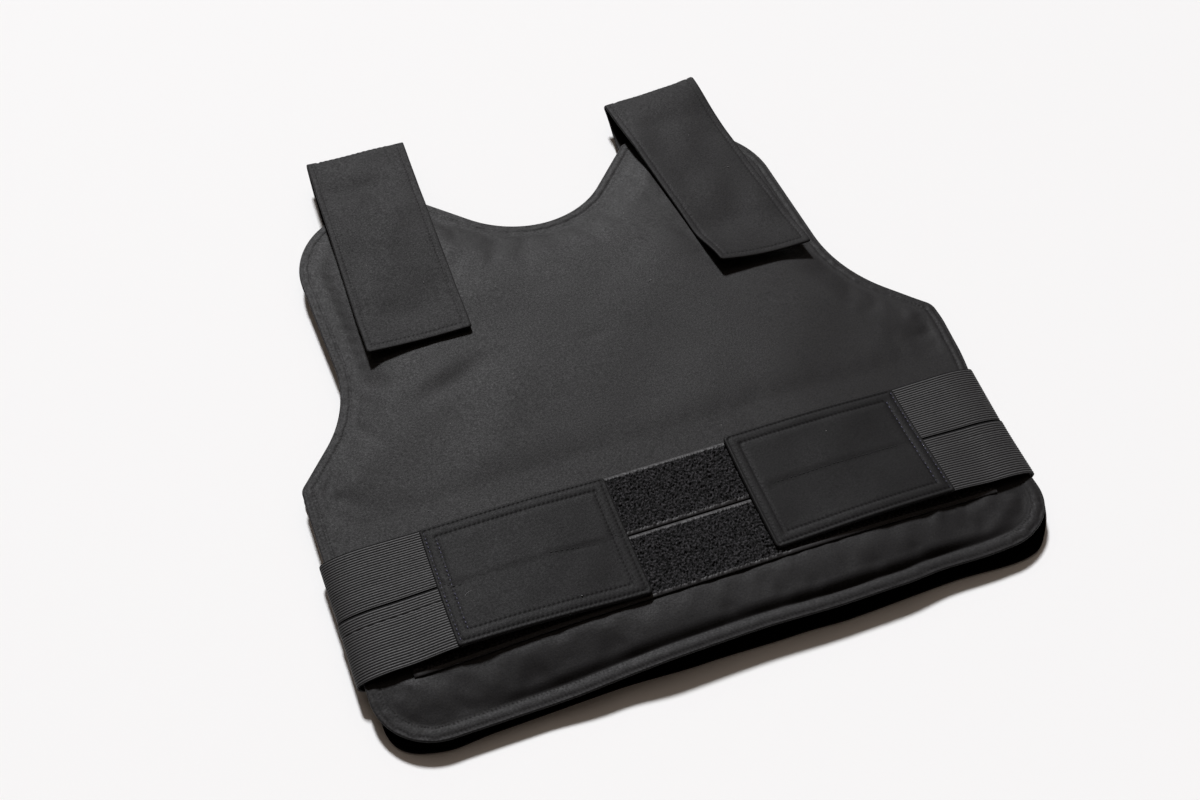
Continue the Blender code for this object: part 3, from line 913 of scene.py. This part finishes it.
# Loop tapes.
# Two 50 mm tapes of napped loops, one above the other across the front, each with a smooth
# woven selvedge along both edges by which it is sewn down.

BELT_MIDDLE_Y = 0.0985
TAPE_WIDTH = 0.050
TAPE_HALF_LENGTH = 0.214
TAPE_THICKNESS = 0.0012
TAPE_SPACING = 0.0009
SELVEDGE = 0.0027
OPEN_X = (-0.060, 0.052)
NAP_HEIGHT = 0.00062


def pile_material():
    """Napped loops, with painted shade at their roots and painted light on their crowns."""
    material, shader, nodes, links = new_material("loop pile", {
        "Roughness": 0.8, "Specular IOR Level": 0.15})
    # The ramp paints shade on the low parts of the nap and a paler tone as painted light on its crowns.
    nap = speckle(nodes, links, shader, 620.0, 3.0, ((0.46, (0.0008, 0.0008, 0.0009)),
                                                     (0.64, (0.0340, 0.0320, 0.0350))))
    height = set_inputs(nodes.new("ShaderNodeBump"), {"Strength": 0.9, "Distance": 0.0004})
    links.new(nap, height.inputs["Height"])
    links.new(height.outputs["Normal"], shader.inputs["Normal"])
    return material


loop_pile = pile_material()
selvedge_cloth = cloth_material("tape selvedge", (0.0220, 0.0208, 0.0220), 0.0007, 0.3, 1.2, 0.0,
                                0.55, 0.30, 0.00015)


def clean(piece):
    """Drops a piece's loose points, joins doubled ones and turns its faces outward."""
    shape = bmesh.new()
    shape.from_mesh(piece.data)
    loose = [vertex for vertex in shape.verts if not vertex.link_faces]
    bmesh.ops.delete(shape, geom=loose, context="VERTS")
    bmesh.ops.remove_doubles(shape, verts=shape.verts, dist=1e-7)
    bmesh.ops.recalc_face_normals(shape, faces=shape.faces)
    shape.to_mesh(piece.data)
    shape.free()


def add_tape(name, node, side):
    """One tape: a flat ground, a fuzzy top, and two thin selvedges."""
    near, far = sorted((BELT_MIDDLE_Y + side * TAPE_SPACING / 2, BELT_MIDDLE_Y + side * TAPE_WIDTH))
    columns = np.concatenate([np.arange(-TAPE_HALF_LENGTH, OPEN_X[0], 0.004),
                              np.arange(OPEN_X[0], OPEN_X[1], 0.00065),
                              np.arange(OPEN_X[1], TAPE_HALF_LENGTH, 0.004), [TAPE_HALF_LENGTH]])
    inner = np.linspace(near + SELVEDGE, far - SELVEDGE, 72)
    rows = np.concatenate([[near, near + 0.0003, near + SELVEDGE * 0.7], inner,
                           [far - SELVEDGE * 0.7, far - 0.0003, far]])
    grid_x, grid_y = np.meshgrid(columns, rows, indexing="ij")
    chance = np.random.default_rng(11 if side > 0 else 12)
    nap = chance.normal(0.0, 1.0, grid_x.shape)
    nap = (nap + np.roll(nap, 1, 1) * 0.35) / 1.06
    edge = np.minimum(grid_y - near, far - grid_y)
    in_pile = edge > SELVEDGE * 0.9
    open_part = smooth((grid_x - OPEN_X[0]) / 0.004) * smooth((OPEN_X[1] - grid_x) / 0.004)
    lift = np.where(in_pile, NAP_HEIGHT * nap * open_part, 0.0)
    ground = front_top(grid_x, grid_y) + GAP
    crown = ground + mix(0.0005, TAPE_THICKNESS, smooth(edge / 0.0006)) + lift
    flat_x, flat_y = lie(grid_x, grid_y)
    top = place(pack(flat_x, flat_y, np.maximum(crown, ground + 0.0002)).reshape(-1, 3))
    under = place(pack(flat_x, flat_y, ground).reshape(-1, 3))
    across, count, base = len(rows), len(columns), len(top)
    faces, kinds = [], []
    for column in range(count - 1):
        for row in range(across - 1):
            corner = column * across + row
            faces.append((corner, corner + across, corner + across + 1, corner + 1))
            kinds.append(0 if in_pile[column, row] and in_pile[column, row + 1] else 1)
    for column in range(count - 1):
        first, last = column * across, column * across + across - 1
        faces.append((base + first, base + last, base + last + across, base + first + across))
        for corner in (first, last):
            quad = (corner, base + corner, base + corner + across, corner + across)
            faces.append(quad if corner == first else quad[::-1])
    for corner in (0, (count - 1) * across):
        face = [*range(corner, corner + across), base + corner + across - 1, base + corner]
        faces.append(tuple(face if corner == 0 else face[::-1]))
    kinds += [1] * (len(faces) - len(kinds))
    tape = add_piece(name, np.vstack([top, under]), faces, (loop_pile, selvedge_cloth), kinds)
    clean(tape)
    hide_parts(node)


add_tape("upper_loop_tape", "loop_tape_upper", 1)
add_tape("lower_loop_tape", "loop_tape_lower", -1)


# Elastic bands.
# Two ribbed knitted elastics a side, sewn inside the back panel's edge. They come round the
# front panel's side and are caught in the outer end of the closing tab.

TABS = (  # name, node, side, inner and outer x, y of the middle of the inner and outer end
    ("left", "tab_left", -1, 0.050, 0.183, 0.0989, 0.1038),
    ("right", "tab_right", 1, 0.042, 0.181, 0.1025, 0.1031),
)
TAB_HEIGHT = 0.0975
TAB_THICKNESS = 0.003
TAB_LIFT = 0.005
BAND_ROWS = (  # row, y of its lower and upper edge from the middle of the tab, extra reach
    ("upper", 0.0003, 0.0485, 0.0),
    ("lower", -0.0485, -0.0003, 0.0008),
)
BAND_STITCHES = {  # band, how far up it a row of stitches shows, and their depth
    "left_lower_elastic": (0.0372, 0.00040),
    "right_lower_elastic": (0.0390, 0.00016),
}
BAND_THICKNESS = 0.0016
BAND_LAP_LENGTH = 0.006
BAND_LAP_GAP = 0.0006
BAND_NOSE_INSET = 0.0055
BAND_NOSE_REACH = 0.0086
BAND_NOSE_TOP = 0.0208
BAND_SHOULDER = 0.022
RIB_PITCH = 0.0020
RIB_HEIGHT = 0.00050
BAND_STEPS = 60


def tab_height_at(x, y, outer_share, low_share):
    """Height of the middle of a tab, whose outer lower corner stands off the tapes."""
    lying = front_top(x, y) + 2 * GAP + TAPE_THICKNESS + TAB_THICKNESS / 2
    return lying + TAB_LIFT * smooth(outer_share) * smooth(low_share)


def side_x(y):
    """Half the width of a panel between its waist and its hem corner."""
    return np.interp(y, (0.0035, 0.0900, 0.2173), (0.2450, 0.2455, 0.2512))


def back_top_height(x, y):
    """Height of the back panel's upper face under a point of the front panel."""
    front_x, front_y = lie(x, y)
    back_x, back_y = lie(x, y, BACK_LIE)
    straight = pack(x + front_x - back_x, y + front_y - back_y)
    distance, _ = edge_distance(outline, straight)
    thick = mix(EDGE_THICKNESS, PAD_THICKNESS, pad_share(straight[:, 1], distance)) / 2
    return back_middle(straight[:, 0], straight[:, 1], distance) + thick


def band_route(side, end_x, end_height, y, reach):
    """Distance from the centre line and height along a band, from its lap to the tab."""
    nose_x = float(side_x(y)) - BAND_NOSE_INSET
    lap_x = np.linspace(nose_x - BAND_LAP_LENGTH, nose_x, 4)
    lap_z = back_top_height(side * lap_x, np.full(4, y)) + BAND_LAP_GAP + BAND_THICKNESS / 2
    middle = (lap_z[-1] + BAND_NOSE_TOP) / 2 - 0.0006
    angles = np.linspace(-np.pi / 2, np.pi / 2, 49)[1:]
    over = angles > 0.0
    start_x = np.where(over, nose_x - BAND_SHOULDER, nose_x)
    reach_x = np.where(over, BAND_SHOULDER, 0.0) + BAND_NOSE_REACH + reach
    reach_z = np.where(over, BAND_NOSE_TOP - middle, middle - lap_z[-1])
    nose = pack(start_x + reach_x * np.cos(angles), middle + reach_z * np.sin(angles))
    shares = np.linspace(0.0, 1.0, 13)[1:]
    taut = pack(mix(nose_x - BAND_SHOULDER, end_x, shares),
                mix(BAND_NOSE_TOP, end_height, smooth(shares)))
    return np.vstack([pack(lap_x, lap_z), nose, taut])


ribbed_elastic = cloth_material("ribbed elastic", (0.0385, 0.0375, 0.0385), 0.0007, 0.25, 1.0, 0.3,
                                0.58, 0.42, 0.00016)
# A darker copy of the elastic's cloth, as painted shade: in the valleys between the ribs, on the rims,
# over the upper edge where a highlight would show, and in the stitch dashes, where it stands for the
# thread as well.
rib_shade_cloth = cloth_material("painted shade between the elastic's ribs", (0.0080, 0.0077, 0.0080), 0.0007, 0.25, 1.0,
                            0.0, 0.75, 0.05, 0.00016)


def add_band(name, node, side, low, high, outer_x, outer_y, reach):
    """One ribbed band, as a closed strip with a rounded edge on both sides."""
    width = high - low
    ribs = round(width / RIB_PITCH)
    across = np.concatenate([[0.0, 0.0004], np.linspace(0.001, width - 0.001, ribs * 5 + 1),
                             [width - 0.0004, width]])
    steps = BAND_STEPS
    keys = np.linspace(0.0, width, 7)
    lines = []
    for key in keys:
        y = outer_y + low + key
        end_height = float(tab_height_at(np.array(side * outer_x), np.array(y), 1.0,
                                         0.5 - (y - outer_y) / TAB_HEIGHT))
        route = band_route(side, outer_x - 0.004, end_height, y, reach)
        route = even_steps(route, 0.001, closed=False)
        marks = np.linspace(0, len(route) - 1, steps + 1)
        lines.append(resample(marks, np.arange(len(route)), route))
    lines = np.array(lines)
    section = np.stack([resample(across, keys, lines[:, step]) for step in range(steps + 1)])
    runs = np.gradient(section, axis=0)
    runs /= np.linalg.norm(runs, axis=2)[:, :, None]
    outward = pack(-runs[:, :, 1], runs[:, :, 0])
    outward *= np.sign(outward[steps // 2 + 20, len(across) // 2, 1])
    edge = np.minimum(across, width - across)
    rim = rounded(edge, 0.0007)
    turns = (across - 0.001) / (width - 0.002) * ribs
    rib = 0.5 + 0.5 * np.cos(2 * np.pi * turns)
    chance = np.random.default_rng(ribs + round(width * 1e6) + side)
    depths = chance.uniform(0.80, 1.0, ribs + 2)[np.clip(np.round(turns).astype(int), 0, ribs)]
    over = BAND_THICKNESS / 2 * rim - RIB_HEIGHT * depths * rib * rim
    stitch_across, stitch_depth = BAND_STITCHES.get(name, (0.0, 0.0))
    dashes = 0.35 + 0.65 * (np.sin(2 * np.pi * np.arange(steps + 1) / 5.0) > -0.3)
    over = over - stitch_depth * dashes[:, None] * bump(across - stitch_across, 0.0010)
    y = np.broadcast_to(outer_y + low + across, section.shape[:2])

    def face_points(offset):
        x, z = np.moveaxis(section + outward * (offset * np.ones(y.shape))[:, :, None], 2, 0)
        return place(pack(*lie(side * x, y), z).reshape(-1, 3))

    top, under = face_points(over), face_points(-BAND_THICKNESS / 2 * rim)
    count, rows, base = len(across), steps + 1, len(top)
    faces, kinds = [], []
    for row in range(rows - 1):
        for column in range(count - 1):
            corner = row * count + column
            quad = (corner, corner + 1, corner + count + 1, corner + count)
            # Rims, the upper edge and the rib valleys take painted shade; the stitch dashes take the
            # dark cloth as thread and painted shade.
            painted_dark_edge = max(edge[column], edge[column + 1]) < 0.0005 or width - across[column] < 0.0012
            deep = min(rib[column], rib[column + 1]) > 0.60
            sewn = (stitch_depth > 0.0002 and dashes[row] > 0.5
                    and abs(across[column] - stitch_across) < 0.0007)
            faces += [quad, tuple(base + point for point in (quad[0], *quad[:0:-1]))]
            kinds += [int(painted_dark_edge or deep or sewn), 0]
    for column in range(count - 1):
        last = (rows - 1) * count + column
        faces.append((column, base + column, base + column + 1, column + 1))
        faces.append((last, last + 1, base + last + 1, base + last))
    kinds += [0] * (len(faces) - len(kinds))
    band = add_piece(name, np.vstack([top, under]), faces, (ribbed_elastic, rib_shade_cloth), kinds)
    clean(band)
    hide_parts(node)


for name, node, side, _, outer_x, _, outer_y in TABS:
    for row_name, low, high, reach in BAND_ROWS:
        add_band(f"{name}_{row_name}_elastic", f"elastic_{name}_{row_name}",
                 side, low, high, outer_x, outer_y, reach)


# Closing tabs.
# Each is a double layer of shell cloth over a stiff lining, turned and stitched twice round its
# edge, with hooks underneath that grip the loop tapes. The elastics are caught in its outer end.

TAB_ROWS = (0.0030, 0.0098)
STRIP_GRID = 0.0026
TAB_PITCH = 0.0033
TAB_RINGS = (0.0003, 0.0007, 0.0014, 0.0022, 0.0030, 0.0038, 0.0052, 0.0075, 0.0090, 0.0098, 0.0106,
             0.0120)
END_PITCH = 0.0038
TAB_THREAD = 0.00044
END_THREAD = 0.00072
MARK_DEPTH = 0.00028
FOLD_STEP = 0.00022
TAB_MARKS = (  # tab, u and v of both ends of a short stitched bar or line, and its stitches
    ("left", 0.0124, 0.0528, 0.0042, 0.0462, 5),
    ("left", 0.1343, 0.0552, 0.1246, 0.0464, 5),
    ("left", 0.1240, 0.0456, 0.1165, 0.0448, 2),
    ("left", 0.0560, 0.0497, 0.0230, 0.0466, 9),
    ("right", 0.0180, 0.0490, 0.1180, 0.0487, 30),
)
# A darker copy of the shell cloth, as painted shade for the way the tabs face the light.
shade_painted_tab_cloth = cloth_material("black woven tab cloth in painted shade", (0.0064, 0.0060, 0.0064), 0.00055, 0.25, 1.2, 0.8,
                           0.55, 0.096, 0.00022)
blue_thread = plain_thread("blue black thread", (0.040, 0.038, 0.078), 0.6)


def strip_plan(length, width, radii, pitch, rings, last_ring, grid_margin):
    """The plan of a flat strip with u along it and v across it, and its corners' two radii."""
    corners = [((0.0, 0.0), radii[0]), ((0.0, width), radii[0]),
               ((length, width), radii[1]), ((length, 0.0), radii[1])]
    edge = even_steps(rounded_outline(corners), pitch / 2)
    return cut_plan(edge, [(inset, 1) for inset in rings] + [(last_ring, 2)], STRIP_GRID, grid_margin)


def upright(normals):
    """The same normals, turned to point up."""
    return [normal * math.copysign(1.0, normal.z) for normal in normals]


def add_tab(name, node, side, inner_x, outer_x, inner_y, outer_y):
    """A tab on its own plan, with u from its inner end and v up from its lower edge."""
    length = outer_x - inner_x
    plan = strip_plan(length, TAB_HEIGHT, (0.003, 0.0015), TAB_PITCH, TAB_RINGS, 0.0145, 0.0160)
    u, v = plan["points"].T
    distance, along = plan["distance"], plan["along"]
    share, low_share = u / length, 1.0 - v / TAB_HEIGHT
    x = side * (inner_x + u)
    y = mix(inner_y, outer_y, share) + v - TAB_HEIGHT / 2
    middle = tab_height_at(x, y, share, low_share)
    rim = rounded(distance, 0.0014)
    rows = bump(distance - TAB_ROWS[0], ROW_WIDTH) + bump(distance - TAB_ROWS[1], ROW_WIDTH)
    pillow = bump(distance - sum(TAB_ROWS) / 2, 0.0024)
    relief = 0.00010 * pillow - rows * stitch_pull(along, plan["pitch"])
    for tab, u0, v0, u1, v1, _ in TAB_MARKS:
        if tab == name:
            run = np.array([u1 - u0, v1 - v0])
            reached = np.clip(((u - u0) * run[0] + (v - v0) * run[1]) / (run @ run), 0.0, 1.0)
            gap = np.hypot(u - u0 - run[0] * reached, v - v0 - run[1] * reached)
            relief = relief - MARK_DEPTH * bump(gap, 0.0013)
    fold = FOLD_STEP * np.tanh((v - TAB_HEIGHT / 2) / 0.0012)
    relief = relief + fold * smooth((distance - 0.010) / 0.004)
    relief = relief + slow_waves(x, y, 21 + side, 0.00022, 0.02, 0.08) * smooth(distance / 0.02)
    half = TAB_THICKNESS / 2 * rim
    flat_x, flat_y = lie(x, y)
    top = place(pack(flat_x, flat_y, middle + half + relief * rim))
    under = place(pack(flat_x, flat_y, middle - half))
    if side < 0:
        plan["faces"] = [face[::-1] for face in plan["faces"]]
    tab = sew(f"{name}_closing_tab", plan, top, under, (shade_painted_tab_cloth,))
    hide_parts(node)

    def straight(start, end, count):
        points, normals = on_face(plan, top, np.linspace(start, end, count + 1))
        return points, upright(normals)

    black_rows, blue_rows = [], []
    for inset in TAB_ROWS:
        black_rows += seam_rows(plan, top, inset, 1.0, lambda ring: ring[:, 0] < length - 0.0125)
        ends = (length - inset, inset), (length - inset, TAB_HEIGHT - inset)
        blue_rows.append(straight(*ends, round((TAB_HEIGHT - 2 * inset) / END_PITCH)))
    for tab_name, u0, v0, u1, v1, count in TAB_MARKS:
        if tab_name == name:
            black_rows.append(straight((u0, v0), (u1, v1), count))
    add_stitches(f"{name}_tab_topstitching", black_rows, TAB_THREAD, black_thread_and_pit_shade)
    add_stitches(f"{name}_tab_end_stitching", blue_rows, END_THREAD, blue_thread)
    return plan, top


sewn_tabs = {values[0]: add_tab(*values) for values in TABS}


# Shoulder straps.
# Two layers of shell cloth stitched along all edges. Each is sewn inside the back panel's
# shoulder, folds over in an open loop, and closes on the front with a lifted free end.

STRAP_THICKNESS = 0.0022
STRAP_LAP_Y = 0.4545
STRAP_REST_Y = 0.4390
STRAP_LIFT_LENGTH = 0.045
STRAP_FOLD_RADIUS = 0.0018
STRAP_RISE_POWER = 2.5
STRAP_ROW = 0.0052
STRAP_SWAY = 0.00042
STRAP_PITCH = 0.0033
STRAP_RINGS = (0.0002, 0.0005, 0.0010, 0.0020, 0.0032, 0.0044, 0.0052, 0.0060, 0.0074)
LOWER_SHIFT = {"left": 0.0, "right": 0.0062}
STRAP_DENTS = {  # middle along and across from the right edge, reaches, depth, all in metres
    "left": ((0.478, 0.048, 0.011, 0.026, 0.0018), (0.462, 0.020, 0.010, 0.020, 0.0009),
             (0.340, 0.030, 0.012, 0.030, 0.0008)),
    "right": ((0.468, 0.050, 0.012, 0.030, 0.0009), (0.400, 0.030, 0.016, 0.030, 0.0005),
              (0.345, 0.052, 0.012, 0.024, 0.0006)),
}
strap_cloth = cloth_material("black woven strap cloth", (0.0088, 0.0081, 0.0086), 0.00055, 0.25, 1.3,
                             0.7, 0.60, 0.120, 0.00022)


def strap_route(fold_y, end_y, fold_height, x):
    """y and height along a strap, from the back panel round the fold to the free end."""
    lap_height = BACK_EDGE_HEIGHT + EDGE_THICKNESS / 2 + GAP + STRAP_THICKNESS / 2
    centre_y = fold_y - STRAP_FOLD_RADIUS
    shares = np.linspace(0.0, 1.0, 41)
    rise = mix(lap_height, fold_height - STRAP_FOLD_RADIUS, shares ** STRAP_RISE_POWER)
    lower = pack(mix(STRAP_LAP_Y, centre_y, shares), rise)
    angles = np.linspace(-np.pi / 2, np.pi / 2, 15)
    fold = pack(centre_y + STRAP_FOLD_RADIUS * np.cos(angles),
                fold_height + STRAP_FOLD_RADIUS * np.sin(angles))
    rest = float(front_top(np.array(x), np.array(STRAP_REST_Y))) + GAP + STRAP_THICKNESS / 2
    down = pack(mix(centre_y, STRAP_REST_Y, shares),
                mix(fold_height + STRAP_FOLD_RADIUS, rest, smooth(shares)))
    ys = np.linspace(STRAP_REST_Y, end_y, 97)
    flat = pack(ys, np.full(len(ys), rest))
    return np.vstack([lower[:-1], fold[:-1], down[:-1], flat])


def add_strap(name, node, fold_x, end_x, fold_y, end_y, fold_left, fold_right, slope,
              lift_left, lift_right):
    """A strap on its own plan, with u along it from the back panel and v across it."""
    routes = [strap_route(fold_y, end_y, height, fold_x) for height in (fold_left, fold_right)]
    lengths = arc_lengths(sum(routes) / 2)
    total = lengths[-1]
    plan = strip_plan(total, STRAP_WIDTH, (0.0005, 0.0015), STRAP_PITCH, STRAP_RINGS, 0.0095, 0.0110)
    u, v = plan["points"].T
    distance, along = plan["distance"], plan["along"]
    share = v / STRAP_WIDTH
    across = v - STRAP_WIDTH / 2
    sides = []
    for route in routes:
        runs = np.gradient(route, axis=0)
        runs /= np.linalg.norm(runs, axis=1)[:, None]
        sides.append(resample(u, lengths, np.hstack([route, runs])))
    y, z, run_y, run_z = mix(*sides, share[:, None]).T
    size = np.hypot(run_y, run_z)
    x = mix(end_x, fold_x, (y - end_y) / (fold_y - end_y)) + across
    on_top = run_y < 0.0
    x = x - np.where(on_top, 0.0, LOWER_SHIFT[name] * smooth((fold_y - y) / (fold_y - STRAP_LAP_Y)))
    corner = np.clip(1.0 - share, 0.0, 1.0) ** 2.2
    near_end = np.where(on_top, smooth(1.0 - (y - end_y) / STRAP_LIFT_LENGTH), 0.0)
    z = z + near_end * mix(lift_right, lift_left, corner)
    for dent_y, dent_across, reach_y, reach_across, depth in STRAP_DENTS[name]:
        hollowed = depth * bump(y - dent_y, reach_y) * bump(STRAP_WIDTH - v - dent_across, reach_across)
        z = z - np.where(on_top, hollowed, 0.0)
    curl = near_end * corner * (lift_left / 0.008)
    x = x + 0.0017 * curl
    y = y + 0.0012 * curl - 0.0016 * near_end * np.sin(np.pi * share) * (lift_left / 0.008)
    y = y + slope * smooth((y - STRAP_LAP_Y) / (fold_y - STRAP_LAP_Y)) * across
    normal = pack(np.zeros(len(u)), run_z / size, -run_y / size)
    rim = rounded(distance, RIM_RADIUS)
    relief = -bump(distance - STRAP_ROW, 0.0007) * stitch_pull(along, plan["pitch"]) * 0.8
    relief = relief + 0.00003 * bump(distance - 0.0026, 0.0016)
    free = smooth((u - 0.02) / 0.04) * smooth((total - u) / 0.03)
    sway = slow_waves(u, v, 31 if end_x < 0 else 32, STRAP_SWAY, 0.03, 0.11) * free
    half = (STRAP_THICKNESS / 2) * rim
    centre = pack(x, y, z) + normal * sway[:, None]
    top = place(centre + normal * (half + relief * rim)[:, None])
    under = place(centre - normal * half[:, None])
    strap = sew(f"{name}_shoulder_strap_cover", plan, top, under, (strap_cloth,))
    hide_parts(node)
    rows = seam_rows(plan, top, STRAP_ROW, 1.0, lambda ring: ring[:, 0] > 0.004)
    add_stitches(f"{name}_strap_topstitching", rows, STITCH_THICKNESS, black_thread_and_pit_shade)
    return plan, top


sewn_straps = {values[0]: add_strap(*values) for values in STRAPS}


# Lint.
# A few pale fibres and one loose thread end have settled on the cloth, each a short curved hair.

LINT = (  # face, place on its plan, length, turn in degrees, thickness
    ("chest", -0.1721, 0.1675, 0.0018, 20, 0.00030),
    ("chest", 0.0503, 0.3074, 0.0030, 15, 0.00035),
    ("chest", -0.1515, 0.0495, 0.0012, 60, 0.00050),
    ("chest", -0.2013, 0.3956, 0.0050, 70, 0.00025),
    ("left strap", 0.0546, 0.0577, 0.0016, 30, 0.00045),
    ("right strap", 0.1002, 0.0607, 0.0012, 50, 0.00050),
    ("left tab", 0.0462, 0.0111, 0.0012, 40, 0.00050),
    ("left tab", 0.1150, 0.0363, 0.0060, -20, 0.00022),
)
lint_fibre = plain_thread("pale lint", (0.30, 0.30, 0.31), 0.8)
cloth_faces = {"chest": (panel_plan, front_top_face)}
cloth_faces.update({f"{name} strap": face for name, face in sewn_straps.items()})
cloth_faces.update({f"{name} tab": face for name, face in sewn_tabs.items()})
fibres = {}
for face, u, v, length, turn, thickness in LINT:
    plan, top = cloth_faces[face]
    if "strap" in face:
        u = plan["points"][:, 0].max() - u
    angle = math.radians(turn)
    steps = np.linspace(-0.5, 0.5, 5)
    bow = 0.15 * np.cos(np.pi * steps)
    places = pack(u + length * (steps * math.cos(angle) - bow * math.sin(angle)),
                  v + length * (steps * math.sin(angle) + bow * math.cos(angle)))
    points, normals = on_face(plan, top, places)
    normals = upright(normals)
    points = [point + normal * (thickness * 0.6) for point, normal in zip(points, normals)]
    fibres.setdefault(thickness, []).append((points, normals))
for number, (thickness, rows) in enumerate(sorted(fibres.items()), 1):
    add_stitches(f"lint_{number}", rows, thickness, lint_fibre, 1.0)
